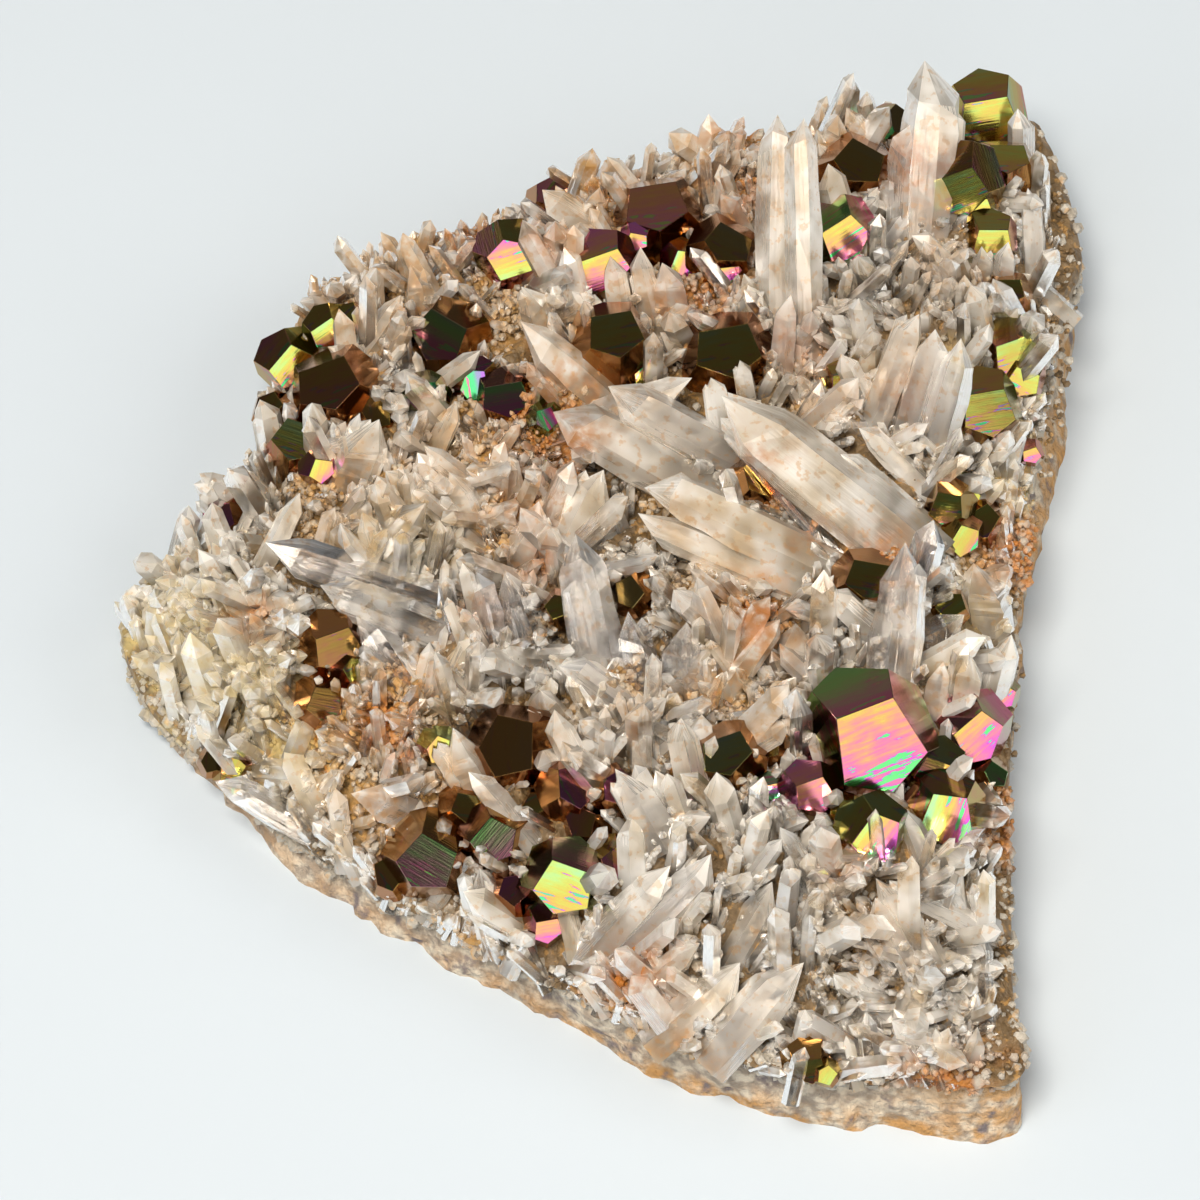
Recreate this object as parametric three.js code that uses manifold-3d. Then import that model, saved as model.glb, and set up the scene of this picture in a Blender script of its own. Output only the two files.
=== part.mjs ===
// Rainbow pyrite on quartz: a hand-sized plate of rock, crusted on its upper side with quartz
// needles and sub-parallel quartz blades, with iridescent pyritohedra seated among the quartz.
// The plate lies on its flat back. Millimetres, +Z up, +X to the right and +Y away from someone
// who looks down on it.
import * as THREE from "three";
import { ConvexGeometry } from "three/addons/geometries/ConvexGeometry.js";
import { mergeVertices } from "three/addons/utils/BufferGeometryUtils.js";
import Module from "manifold-3d";

const wasm = await Module();
wasm.setup();

// The view that places are read in: looking down on the plate from in front, along a 3-4-5 triangle.
const VIEW_SIN = 0.8;
const VIEW_COS = 0.6;
const VIEW_DISTANCE = 600;
const VIEW_HEIGHT = 12; // of the middle of the view, above the base
const ORIGIN = [1.457, 6.365]; // the specimen's origin in that frame, under the middle of its box

// The plate
const MIDDLE = [5, 0]; // the rings of the plate close in on this point
const AROUND = 32; // corners of one ring
const WALL_WAVER = 0.7; // how far the broken wall goes in and out
const ROCK_TOP = 6.0; // mean height of the rock
const ROCK_TILT = 0.06; // the rock is thicker to the right
const JOINT_GAP = 0.3; // between the quartz and the rock, and round each pyrite crystal

// The crust
const CRUST_THICKNESS = 9.2; // in the middle of the plate
const CRUST_SHOULDER = 13; // width of the slope from there to the rim
const CRUST_LUMPS = 0.9;
const CRUST_BULGE = 0.5; // the lip of the crust stands proud of the rock
const FRONT_SLOPE_FROM = -34; // in front of this line the crust thins towards the broken front edge
const FRONT_SLOPE = 0.17;

// Quartz crystals
const ROOT = 2.2; // buried length of each
const TAPER = 0.84; // shoulder over root
const TIP_SHARE = 0.62; // length of the point over the width

// Rim of the plate: [across, up, height, batter, lip]. The first three give the edge as seen, at
// that height. The batter is how far the top of the wall stands back from its foot, and the lip is
// the thickness of the crust there.
const RIM = [
  [41.8, -53.3, 0, 1.6, 1.6], [41.2, -45, 0, 1.8, 2], [41, -35, 0, 1.6, 2], [40.8, -25, 0, 1.6, 2],
  [41.8, -15, 0, 2, 2], [42.4, -8, 0, 2.4, 2], [43.2, 0, 0, 3, 2], [45.2, 8, 0, 4, 2.4],
  [46.8, 16, 0, 4.6, 2.4], [47, 22, 0, 3.6, 2.4], [47.8, 30, 5, 1, 2.8], [46.6, 37, 9, 0, 3],
  [45, 43.5, 11, -1, 3], [42.5, 48.2, 13, -2, 3.4], [36, 48.5, 13, -2, 3.4],
  [27, 48.2, 13, -2, 3.6], [18, 48.2, 13, -2, 3.6], [12, 46.6, 13, -2, 3.6], [5, 44.5, 13, -2, 3.6],
  [-3, 42.8, 13, -2, 3.6], [-10, 40, 13, -2, 3.6], [-17, 38.6, 13, -2, 3.6],
  [-23, 35.6, 12, -2, 3.6], [-29, 31.4, 12, -2, 3.6], [-30.6, 27, 11, -2, 3.4],
  [-33, 22, 10, -2, 3.2], [-33.5, 16.5, 9, -2, 3], [-36.5, 11.6, 8, -2, 3], [-41, 6.5, 8, -2, 3],
  [-45.2, 2, 7, -2, 3], [-46.8, -2.5, 5, -1.4, 2.8], [-45.6, -8.5, 3, -1, 2.4],
  [-43.6, -13, 1, -0.4, 2], [-40.6, -17, 0, 0.6, 1.6], [-35.8, -22, 0, 1.2, 1.4],
  [-30.6, -27.2, 0, 1.4, 1.2], [-24.4, -31.4, 0, 1.4, 1.2], [-16.4, -36, 0, 1.4, 1.2],
  [-8, -40.8, 0, 1.4, 1.2], [0, -45, 0, 1.4, 1.2], [9, -49.5, 0, 1.4, 1.4],
  [19, -52.2, 0, 1.6, 1.4], [31, -53.4, 0, 1.6, 1.6],
];

// Mounds and hollows of the crust: [across, up, radius, rise].
const SWELLS = [
  [-24, 11, 9, 3.0], [-2, 18, 9, 2.6], [22, 12, 11, 2.2], [30, -2, 8, 2.0], [-14, -8, 9, 2.4],
  [-33, -5, 10, 1.6], [4, -38, 8, 2.6], [15, 27, 7, 2.0], [-24, 31, 8, 2.4], [-26, -19, 7, 1.6],
  [12, -2, 8, 1.4], [27, -29, 8, 1.8], [-8, -15, 7, -1.8], [-4, -26, 7, -2.0], [27, -17, 8, -1.6],
  [-14, 24, 7, -1.8], [7, 33, 8, -1.2], [12, 22, 5, -1.4], [38, 8, 5, -1.0],
];

// Quartz crystals: [root across, root up, tip across, tip up, rise of the tip, width, flatness],
// where the flatness is the thickness over the width.
const CRYSTALS = [
  [17.2, 25.5, 17.6, 48.6, 14, 3.6, 0.9], [20.4, 25, 19.8, 48.2, 14, 3.6, 0.8],
  [32.4, 38, 33.4, 53.8, 10, 5.8, 0.7], [30.2, 38, 30.6, 47, 7, 3.4, 0.8],
  [28.2, 34.5, 32.6, 40.6, 4, 3.6, 0.7], [27.2, 17, 31.4, 28.8, 9, 3.6, 0.8],
  [30.6, 16, 34, 27, 9, 3.4, 0.8], [33.4, 15.2, 36.4, 26, 9, 3.6, 0.8],
  [32, 4, 12, 20.2, 8, 8.6, 0.62], [24, 10, 12.6, 20.6, 6, 5.6, 0.5],
  [12.2, 16.5, 11.4, 22.4, 5, 2.2, 0.8], [23.2, 3, 4.8, 12, 6.5, 4.6, 0.7],
  [23, 0.2, 3.6, 8.2, 5.5, 4.4, 0.7], [35.5, 8, 26, 17.4, 6, 2.8, 0.5],
  [33, 7, 24.2, 14.8, 5.5, 2.4, 0.5], [0.6, 19.8, -8.2, 27.4, 7.5, 5.0, 0.7],
  [-5.4, 26, -7.6, 31.4, 6, 3.6, 0.7], [-4.4, 17, 9.4, 21.6, 5, 3.8, 0.4],
  [12, 9.5, -4.6, 19, 7, 6.0, 0.7], [14.6, 13.6, 0.8, 21.2, 6, 5.0, 0.7],
  [-4, 4, 0.4, 13, 6, 4.2, 0.6], [-8.6, 3.5, -5.6, 9.6, 5, 3.4, 0.7],
  [0.2, -7.4, -2.4, 6.6, 8, 4.8, 0.75], [-6.6, -6.8, -9.6, 3, 6.5, 3.2, 0.8],
  [-10.6, -5, -12.2, 2.8, 5.5, 2.8, 0.8], [-13.2, -1.4, -33.6, 5.4, 5, 5.0, 0.6],
  [-15.4, -3.4, -28, 1.4, 4, 4.2, 0.6], [-33.4, 3.6, -29.8, 10.6, 4.5, 2.4, 0.8],
  [-24.6, 12.6, -22.4, 17.8, 5, 5.2, 0.9], [-17.4, 13, -14.2, 19.8, 5, 2.4, 0.6],
  [-11, 10, -17.6, 15.4, 4.5, 2.4, 0.6], [-12.4, 7.6, -14.8, 13, 4, 3.0, 0.7],
  [-24.6, 23.4, -19.8, 30.4, 5.5, 2.2, 0.9], [-16.6, 29.6, -20, 36.6, 5, 2.6, 0.8],
  [-17.6, 28.8, -18.4, 33.6, 4, 3.0, 0.6], [-18.6, -9, -23.8, -1.2, 5, 4.4, 0.7],
  [-31, -16.4, -28.6, -10.4, 4.5, 2.4, 0.8], [-29.4, -21.6, -27.2, -17, 4, 2.0, 0.8],
  [-29.6, -22.8, -38.2, -17.8, 2, 3.4, 0.6], [-6.2, -25.4, -13, -17, 5, 2.6, 0.8],
  [-12.4, -17.8, -15.4, -13, 4, 4.6, 0.7], [-18.2, -21.6, -24.6, -18.6, 3, 4.0, 0.8],
  [3.4, -30, 3, -21, 7, 2.9, 0.9], [6, -23.6, 2, -16.6, 5, 4.4, 0.8],
  [0.4, -37, 11.8, -26, 7, 4.0, 0.7], [-1.4, -35.6, 7.2, -26.6, 6, 4.2, 0.7],
  [13.4, -36, 17.6, -28.6, 6, 3.6, 0.7], [6, -43.6, 14.2, -36.6, 6, 4.4, 0.7],
  [11.6, -45.4, 20, -35.8, 7, 5.0, 0.6], [9, -42, 14, -38.2, 4, 2.4, 0.8],
  [-2, -37, -4, -28, 6.5, 2.2, 0.8], [-17, -31, -14.4, -27.4, 3.5, 2.0, 0.8],
  [33.2, -27.4, 30.4, -20.8, 5, 2.6, 0.8], [32.8, -36, 27.6, -28, 6, 3.2, 0.8],
  [39.2, -33.4, 29.2, -28.8, 4.5, 3.2, 0.7], [38.6, -2, 37.6, 3.6, 4.5, 5.8, 0.8],
  [28.8, -11.6, 30.8, 5.8, 9.5, 5.0, 0.6], [31.4, 1.4, 33.4, 8, 5, 3.0, 0.6],
  [31, -4.6, 36.6, -1.6, 2.5, 3.4, 0.6], [13.6, -7, 9.4, 2.2, 6, 2.2, 0.8],
  [4.6, -9.4, 2.6, -1.2, 5, 4.6, 0.7], [8.6, -8.4, 8, -2.4, 4.5, 4.4, 0.6],
  [18.8, -6.6, 19.6, -2.2, 3.5, 4.0, 0.8], [33.2, -12.6, 34.2, -6.2, 5, 2.4, 0.8],
  [40, 31, 40.6, 35.8, 4.5, 2.4, 0.8], [43.4, 31.4, 43, 41.2, 7, 2.4, 0.8],
  [46.6, 28.6, 42, 32.6, 2, 2.6, 0.8], [38, 32, 38.6, 35.4, 3.5, 2.2, 0.7],
  [5.4, 27.6, 3.6, 35.2, 5.5, 2.6, 0.8], [7.4, 28.6, 6.6, 33.8, 4.5, 3.2, 0.8],
  [2.2, 28, 1.4, 34.4, 5, 2.8, 0.8], [18.2, 22.6, 18.8, 30.6, 6, 2.6, 0.8],
];

// Patches of slender needles between the larger crystals: [across, up, radius, count].
const NEEDLE_PATCHES = [
  [-38, -4, 8, 6], [-21, 32, 5, 3], [4, 41, 7, 4], [33, -40, 8, 8], [22, -30, 7, 4], [34, 30, 5, 2],
];

// Pyrite crystals by piece: [across, up, face distance, rise of the middle, face right, face up,
// turn]. The face distance is from the middle of the crystal to each face. The last three are
// degrees: where one face looks, off the direction to the viewer, and how far it is turned round.
const PYRITES = {
  pyrite_large_cluster: [
    [26.4, -13.8, 5.4, 2.6, 9, -15, 201], [33, -16.8, 2.9, 1.8, 12, -10, 160],
    [21, -18.9, 2.6, 1.4, 7, -13, 200], [24.2, -21.2, 1.9, 0.8, 4, -13, 190],
    [27.2, -23, 3.2, 1.2, 5, -14, 236], [34.2, -21, 3.5, 1.2, -14, -14, 250],
  ],
  pyrite_right_pink: [[37.2, -12.8, 3.4, 1.6, 6, -13, 222]],
  pyrite_middle_pair: [[8.8, -18.6, 2.1, 0.8, -14, -4, 180], [13.2, -15.8, 3.1, 0.8, -12, 14, 200]],
  pyrite_centre_pair: [[-8.8, -15.2, 4.1, 2.0, -3, 10, 90], [-3, -19, 2.8, 0.8, 16, 10, 120]],
  pyrite_front_left_pair: [
    [-17, -25.6, 4.0, 1.6, -8, 2, 150], [-10.4, -23.6, 3.0, 1.6, -6, 0, 230],
  ],
  pyrite_front_trio: [
    [-3.6, -27.8, 3.7, 1.6, -14, -8, 160], [-5.4, -32.4, 2.0, 0.9, 5, -12, 190],
    [1, -26, 2.2, 0.9, 20, -6, 140],
  ],
  pyrite_left_bronze_pair: [[-27, -4.4, 3.0, 1.4, 14, -10, 200], [-28, -10, 2.4, 1.0, 8, -6, 170]],
  pyrite_left_edge: [[-37, -16.6, 1.8, 0.8, 8, -12, 60]],
  pyrite_left_rim: [[-37, 8.6, 2.6, 1.8, -28, -4, 180]],
  pyrite_left_brown_pair: [
    [-30, 14.8, 3.3, 1.4, -8, 24, 160], [-26.4, 20.8, 4.5, 2.2, -14, 16, 200],
  ],
  pyrite_left_lime_pair: [[-30.8, 24, 3.1, 1.8, 5, -13, 230], [-27.6, 26.8, 2.2, 2.0, 5, -12, 215]],
  pyrite_hollow_trio: [
    [-15.2, 25.8, 3.9, 1.8, -12, 10, 150], [-12.6, 21.8, 2.3, 1.0, 5, -12, 100],
    [-9.2, 20, 3.0, 1.2, -6, 4, 190],
  ],
  pyrite_hollow_banded: [[-17.4, 20.6, 2.1, 1.0, -6, -4, 30]],
  pyrite_back_bright: [[-9, 34.4, 3.3, 1.4, 5, -13, 18]],
  pyrite_back_pair: [[0.2, 33.6, 3.3, 1.6, 8, -13, 200], [5.8, 37.4, 4.3, 2.0, -6, 26, 190]],
  pyrite_back_black: [[12.2, 34.8, 3.2, 1.2, 14, 14, 150]],
  pyrite_back_right_pink: [[24.2, 36.8, 3.3, 1.6, 8, -13, 214]],
  pyrite_back_right_black: [[25.2, 42.8, 3.3, 1.6, 12, 16, 150]],
  pyrite_back_rim: [[29, 47, 2.3, 1.4, -30, 4, 190]],
  pyrite_corner_gold: [[38.4, 48.8, 4.0, 2.2, 24, -16, 190]],
  pyrite_corner_trio: [
    [36.2, 42, 3.9, 1.8, -20, -18, 200], [40.4, 43, 3.0, 1.6, 4, 26, 180],
    [38.8, 36.4, 2.6, 1.0, 6, -16, 180],
  ],
  pyrite_rim_olive: [[40.8, 30.4, 2.2, 0.8, -4, 14, 180]],
  pyrite_rim_gold: [[41.2, 25, 3.2, 1.6, 8, -14, 200], [42, 22.2, 2.3, 1.0, 5, -12, 160]],
  pyrite_side_gold: [[38.2, 19.2, 3.5, 1.8, 7, -9, 190]],
  pyrite_side_pair: [[35, 9.4, 2.4, 1.0, -10, -6, 170], [37.6, 7.6, 2.5, 1.0, 4, 6, 210]],
  pyrite_middle_brown: [[13, 23.8, 4.3, 1.4, -4, 14, 190]],
  pyrite_middle_dark: [[1, 25.4, 3.9, 1.2, 6, 20, 190]],
  pyrite_middle_spark: [[24.2, 21.8, 2.0, 1.2, 5, -12, 190]],
  pyrite_rust_nest: [[26.4, 1.6, 3.1, 0.8, 6, 12, 170]],
  pyrite_middle_slate: [[3.6, 0.6, 2.1, 1.0, -20, 10, 130]],
  pyrite_front_wall: [[20.6, -46, 2.2, 0.6, 4, -20, 190]],
};

// The point at that height which is seen that far right of, and above, the middle of the view.
function seen(across, up, height) {
  const eye = [0, -VIEW_DISTANCE * VIEW_COS, VIEW_HEIGHT + VIEW_DISTANCE * VIEW_SIN];
  const held = [across, up * VIEW_SIN, VIEW_HEIGHT + up * VIEW_COS];
  const share = (height - eye[2]) / (held[2] - eye[2]);
  return [0, 1, 2].map((i) => eye[i] + share * (held[i] - eye[i]));
}

// A repeatable run of numbers from 0 to 1.
function draws(seed) {
  let state = seed;
  return () => {
    state = (state * 1664525 + 1013904223) % 4294967296;
    return state / 4294967296;
  };
}

// Corners of the rim in plan, with the batter and the lip of each. Both are carried along the curve
// as its height, made faint so that the corners stay evenly spaced in plan.
const FAINT = 0.001;
const RIM_CORNERS = (() => {
  const line = (carried) => {
    const points = RIM.map((row) => {
      const [x, y] = seen(...row);
      return new THREE.Vector3(x, y, FAINT * carried(row));
    });
    return new THREE.CatmullRomCurve3(points, true, "centripetal").getSpacedPoints(AROUND);
  };
  const batters = line(([, , , batter]) => batter);
  const lips = line(([, , , , lip]) => lip);
  return batters.slice(0, AROUND).map(({ x, y, z }, i) => ({
    at: new THREE.Vector2(x, y),
    batter: z / FAINT,
    lip: lips[i].z / FAINT,
  }));
})();

const smooth = (t) => {
  const held = Math.min(1, Math.max(0, t));
  return held * held * (3 - 2 * held);
};

// How far a place is inside the rim, and the lip of the crust at the nearest point of the rim.
function rimNearest(x, y) {
  const here = new THREE.Vector2(x, y);
  let best = { distance: Infinity, lip: 0 };
  RIM_CORNERS.forEach((corner, i) => {
    const next = RIM_CORNERS[(i + 1) % AROUND];
    const side = next.at.clone().sub(corner.at);
    const along = here.clone().sub(corner.at).dot(side) / side.lengthSq();
    const share = THREE.MathUtils.clamp(along, 0, 1);
    const distance = corner.at.clone().addScaledVector(side, share).distanceTo(here);
    if (distance < best.distance) {
      best = { distance, lip: THREE.MathUtils.lerp(corner.lip, next.lip, share) };
    }
  });
  return best;
}

const lumps = (x, y) =>
  Math.sin(0.31 * x + 1.3) * Math.sin(0.27 * y + 0.4) + 0.7 * Math.sin(0.62 * x - 0.47 * y + 2.1);

const rockTop = (x, y) => ROCK_TOP + ROCK_TILT * x + 0.35 * lumps(x, y);

const SWELL_PLACES = SWELLS.map(([across, up, radius, rise]) => {
  const [x, y] = seen(across, up, VIEW_HEIGHT);
  return { x, y, radius, rise };
});

function crustTop(x, y) {
  const { distance, lip } = rimNearest(x, y);
  const inside = smooth(distance / CRUST_SHOULDER);
  const front = Math.max(0, FRONT_SLOPE_FROM - y) * FRONT_SLOPE;
  const lumpy = CRUST_LUMPS * lumps(1.7 * x, 1.7 * y);
  let thickness = lip + inside * (CRUST_THICKNESS - lip + lumpy) - front;
  for (const swell of SWELL_PLACES) {
    thickness += swell.rise * smooth(1 - Math.hypot(x - swell.x, y - swell.y) / swell.radius);
  }
  return rockTop(x, y) + Math.max(thickness, 0.8 * lip);
}

// The point seen there which stands rise above the crust.
function onCrust(across, up, rise) {
  let point = seen(across, up, VIEW_HEIGHT);
  for (let i = 0; i < 4; i += 1) {
    point = seen(across, up, crustTop(point[0], point[1]) + rise);
  }
  return new THREE.Vector3(...point);
}

// A closed mesh from a stack of rings round MIDDLE, each of AROUND points, with a fan at both ends.
function stackOfRings(rings, firstMiddle, lastMiddle) {
  const positions = [...rings.flat(), firstMiddle, lastMiddle].flat();
  const first = rings.length * AROUND;
  const faces = [];
  for (let i = 0; i < AROUND; i += 1) {
    const next = (i + 1) % AROUND;
    faces.push(first, next, i);
    for (let r = 0; r + 1 < rings.length; r += 1) {
      const a = r * AROUND;
      const b = a + AROUND;
      faces.push(a + i, a + next, b + next, a + i, b + next, b + i);
    }
    const last = (rings.length - 1) * AROUND;
    faces.push(last + i, last + next, first + 1);
  }
  const geometry = new THREE.BufferGeometry();
  geometry.setAttribute("position", new THREE.Float32BufferAttribute(positions, 3));
  geometry.setIndex(faces);
  return geometry;
}

// One ring of the plate: share 1 is the rim, grow moves each corner outwards, height gives z.
const ring = (share, grow, height) =>
  RIM_CORNERS.map((corner, i) => {
    const reach = Math.hypot(corner.at.x - MIDDLE[0], corner.at.y - MIDDLE[1]);
    const scale = share * (1 + grow(corner, i) / reach);
    const x = MIDDLE[0] + scale * (corner.at.x - MIDDLE[0]);
    const y = MIDDLE[1] + scale * (corner.at.y - MIDDLE[1]);
    return [x, y, height(x, y)];
  });

const waver = (i, seed) => WALL_WAVER * Math.sin(2.3 * i + seed) * Math.cos(0.9 * i * seed);
const foot = (corner, i) => Math.min(0, corner.batter) + waver(i, 1.1);
const top = (corner) => -Math.max(0, corner.batter);
const wall = (share, seed) => (corner, i) => -share * Math.abs(corner.batter) + waver(i, seed);

// The rock, with its upper side raised.
function rockPlate(raised) {
  const upper = (x, y) => rockTop(x, y) + raised;
  const part = (share) => (x, y) => share * rockTop(x, y);
  return stackOfRings(
    [
      ring(1, foot, () => 0),
      ring(1, wall(0.35, 2.7), part(0.3)),
      ring(1, wall(0.5, 4.2), part(0.7)),
      ring(1, top, upper),
      ring(0.55, top, upper),
    ],
    [...MIDDLE, 0],
    [...MIDDLE, upper(...MIDDLE)],
  );
}

// The crust without its crystals, with its upper side raised.
function crustBody(raised) {
  const seat = (x, y) => rockTop(x, y) + JOINT_GAP;
  const lip = (x, y) => 0.5 * (seat(x, y) + crustTop(x, y));
  const upper = (x, y) => crustTop(x, y) + raised;
  const proud = (corner, i) => top(corner) + CRUST_BULGE + raised + waver(i, 3.4);
  return stackOfRings(
    [
      ring(0.55, top, seat),
      ring(1, top, seat),
      ring(1, proud, lip),
      ...[0.94, 0.79, 0.6, 0.36].map((share) => ring(share, top, upper)),
    ],
    [...MIDDLE, seat(...MIDDLE)],
    [...MIDDLE, upper(...MIDDLE)],
  );
}

// A six-sided crystal from root to tip, its root buried, each face moved out by grow. A needle is
// one long pyramid, and any other crystal is a prism with a pyramid on top.
function quartzCrystal({ root, tip, width, flatness, turn, needle }, grow) {
  const along = tip.clone().sub(root);
  const length = along.length() + grow;
  const thick = width + 2 * grow;
  const pointLength = Math.min(TIP_SHARE * thick, 0.45 * length);
  const shoulder = needle ? [] : [[0.5 * TAPER, length - pointLength]];
  const outline = [[0, -ROOT], [0.5, -ROOT], ...shoulder, [0, length]];
  const profile = outline.map(([radius, height]) => new THREE.Vector2(radius * thick, height));
  const squash = (flatness * width + 2 * grow) / thick;
  const geometry = new THREE.LatheGeometry(profile, 6, turn).scale(1, 1, squash);
  const level = new THREE.Vector3(0, 0, 1).cross(along).normalize();
  const axis = along.clone().normalize();
  const frame = new THREE.Matrix4().makeBasis(level, axis, level.clone().cross(axis));
  return geometry.applyMatrix4(frame.setPosition(root));
}

// A pyritohedron: twelve {210} faces, all at the same distance from the middle.
function pyritohedron(faceDistance) {
  const corner = (Math.sqrt(5) / 3) * faceDistance;
  const high = (Math.sqrt(5) / 2) * faceDistance;
  const side = high / 2;
  const points = [];
  for (const a of [-1, 1]) {
    for (const b of [-1, 1]) {
      for (const c of [-1, 1]) points.push(new THREE.Vector3(a, b, c).multiplyScalar(corner));
      points.push(new THREE.Vector3(a * side, 0, b * high));
      points.push(new THREE.Vector3(0, a * high, b * side));
      points.push(new THREE.Vector3(a * high, b * side, 0));
    }
  }
  return new ConvexGeometry(points);
}

// Turns a crystal so that its (012) face looks right and up of the viewer by those angles, with
// that face turned round by the last one.
function facing(right, up, turn) {
  const radians = THREE.MathUtils.degToRad;
  const toViewer = new THREE.Vector3(0, -VIEW_COS, VIEW_SIN);
  const viewRight = new THREE.Vector3(1, 0, 0);
  const viewUp = new THREE.Vector3(0, VIEW_SIN, VIEW_COS);
  const look = toViewer
    .addScaledVector(viewRight, Math.tan(radians(right)))
    .addScaledVector(viewUp, Math.tan(radians(up)))
    .normalize();
  const level = viewUp.cross(look).normalize();
  const steep = look.clone().cross(level);
  const edge = level
    .multiplyScalar(Math.cos(radians(turn)))
    .addScaledVector(steep, Math.sin(radians(turn)));
  const world = new THREE.Matrix4().makeBasis(edge, look.clone().cross(edge), look);
  const normal = new THREE.Vector3(0, 1, 2).normalize();
  const unique = new THREE.Vector3(1, 0, 0);
  const crystal = new THREE.Matrix4().makeBasis(unique, normal.clone().cross(unique), normal);
  return world.multiply(crystal.transpose());
}

function solidOf(geometry) {
  geometry.deleteAttribute("normal");
  geometry.deleteAttribute("uv");
  const merged = mergeVertices(geometry, 1e-4);
  return new wasm.Manifold(
    new wasm.Mesh({
      numProp: 3,
      vertProperties: merged.attributes.position.array,
      triVerts: new Uint32Array(merged.index.array),
    }),
  );
}

function geometryOf(solid) {
  const mesh = solid.getMesh();
  const geometry = new THREE.BufferGeometry();
  geometry.setAttribute("position", new THREE.BufferAttribute(mesh.vertProperties, 3));
  geometry.setIndex(new THREE.BufferAttribute(mesh.triVerts, 1));
  return geometry;
}

// The piece of a solid with the most volume, without slivers that cuts have freed.
const largest = (solid) => solid.decompose().reduce((a, b) => (b.volume() > a.volume() ? b : a));

const pyritePlace = ([across, up, , rise, right, lift, turn]) =>
  facing(right, lift, turn).setPosition(onCrust(across, up, rise));

// The part of a pyrite node's crystals that stands clear of what they grow on.
function pyriteSolid(crystals, ground) {
  const solids = crystals.map((crystal) =>
    solidOf(pyritohedron(crystal[2]).applyMatrix4(pyritePlace(crystal))),
  );
  return largest(wasm.Manifold.union(solids).subtract(ground));
}

const placedCrystals = CRYSTALS.map((row, i) => {
  const [rootAcross, rootUp, tipAcross, tipUp, rise, width, flatness] = row;
  const root = onCrust(rootAcross, rootUp, -0.4);
  const tip = new THREE.Vector3(...seen(tipAcross, tipUp, root.z + rise));
  return { root, tip, width, flatness, turn: 0.35 * i };
});

const needles = (() => {
  const draw = draws(11);
  const needle = (across, up, radius) => {
    const heading = 2 * Math.PI * draw();
    const away = radius * Math.sqrt(draw());
    const root = onCrust(across + away * Math.cos(heading), up + away * Math.sin(heading), -0.4);
    const side = 2 * Math.PI * draw();
    const lean = 0.35 + 0.75 * draw();
    const run = new THREE.Vector3(lean * Math.cos(side), lean * Math.sin(side), 1);
    const tip = root.clone().add(run.setLength(4 + 3.4 * draw()));
    return { root, tip, width: 1.8 + 1.6 * draw(), flatness: 0.85, turn: draw(), needle: true };
  };
  return NEEDLE_PATCHES.flatMap(([across, up, radius, count]) =>
    Array.from({ length: count }, () => needle(across, up, radius)),
  );
})();

// The crust with its crystals, each face moved out by grow.
function quartzSolid(grow) {
  const crystals = [...placedCrystals, ...needles].map((crystal) => quartzCrystal(crystal, grow));
  const joined = wasm.Manifold.union([crustBody(grow), ...crystals].map(solidOf));
  return largest(joined.subtract(solidOf(rockPlate(JOINT_GAP))));
}

const FINISHES = {
  rock: { color: "#b98f62", roughness: 0.95, metalness: 0 },
  quartz: { color: "#d9d2c8", roughness: 0.3, metalness: 0 },
  pyrite: { color: "#b08a4a", roughness: 0.15, metalness: 1 },
};

const specimen = new THREE.Group();
specimen.position.set(-ORIGIN[0], -ORIGIN[1], 0);

// Adds a piece that is modelled in the frame of the specimen, with its own origin at place.
function addPiece(name, geometry, finish, place = new THREE.Matrix4()) {
  const material = new THREE.MeshStandardMaterial({ ...FINISHES[finish], flatShading: true });
  const mesh = new THREE.Mesh(geometry.applyMatrix4(place.clone().invert()), material);
  mesh.name = name;
  mesh.applyMatrix4(place);
  specimen.add(mesh);
}

const ground = quartzSolid(JOINT_GAP).add(solidOf(rockPlate(JOINT_GAP)));

addPiece("rock", rockPlate(0), "rock");
addPiece("quartz", geometryOf(quartzSolid(0)), "quartz");
for (const [name, crystals] of Object.entries(PYRITES)) {
  addPiece(name, geometryOf(pyriteSolid(crystals, ground)), "pyrite", pyritePlace(crystals[0]));
}

export default specimen;
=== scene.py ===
"""Rainbow pyrite on quartz: the visual model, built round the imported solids.

A hand-sized plate of rock, crusted with quartz needles and blades, with iridescent pyritohedra
seated among them. Shapes are worked out in millimetres in the frame of the view and turned to
metres in the frame of the solids when each mesh is made.
"""

import itertools
import math

import bpy
import numpy as np
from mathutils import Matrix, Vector


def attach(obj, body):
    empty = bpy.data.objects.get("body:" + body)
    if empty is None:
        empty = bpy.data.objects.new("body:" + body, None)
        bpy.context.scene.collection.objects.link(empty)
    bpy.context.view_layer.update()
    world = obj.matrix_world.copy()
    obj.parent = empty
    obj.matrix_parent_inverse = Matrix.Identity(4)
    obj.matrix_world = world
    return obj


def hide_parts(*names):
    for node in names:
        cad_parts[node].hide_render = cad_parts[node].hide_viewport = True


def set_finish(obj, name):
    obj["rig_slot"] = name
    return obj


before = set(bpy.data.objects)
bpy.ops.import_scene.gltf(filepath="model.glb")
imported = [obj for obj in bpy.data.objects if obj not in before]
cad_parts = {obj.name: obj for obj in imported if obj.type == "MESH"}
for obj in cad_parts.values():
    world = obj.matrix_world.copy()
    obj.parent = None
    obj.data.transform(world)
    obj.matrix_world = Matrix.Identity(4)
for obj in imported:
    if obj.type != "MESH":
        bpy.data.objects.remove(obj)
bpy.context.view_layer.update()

MM = 0.001
SEED = 7

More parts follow.
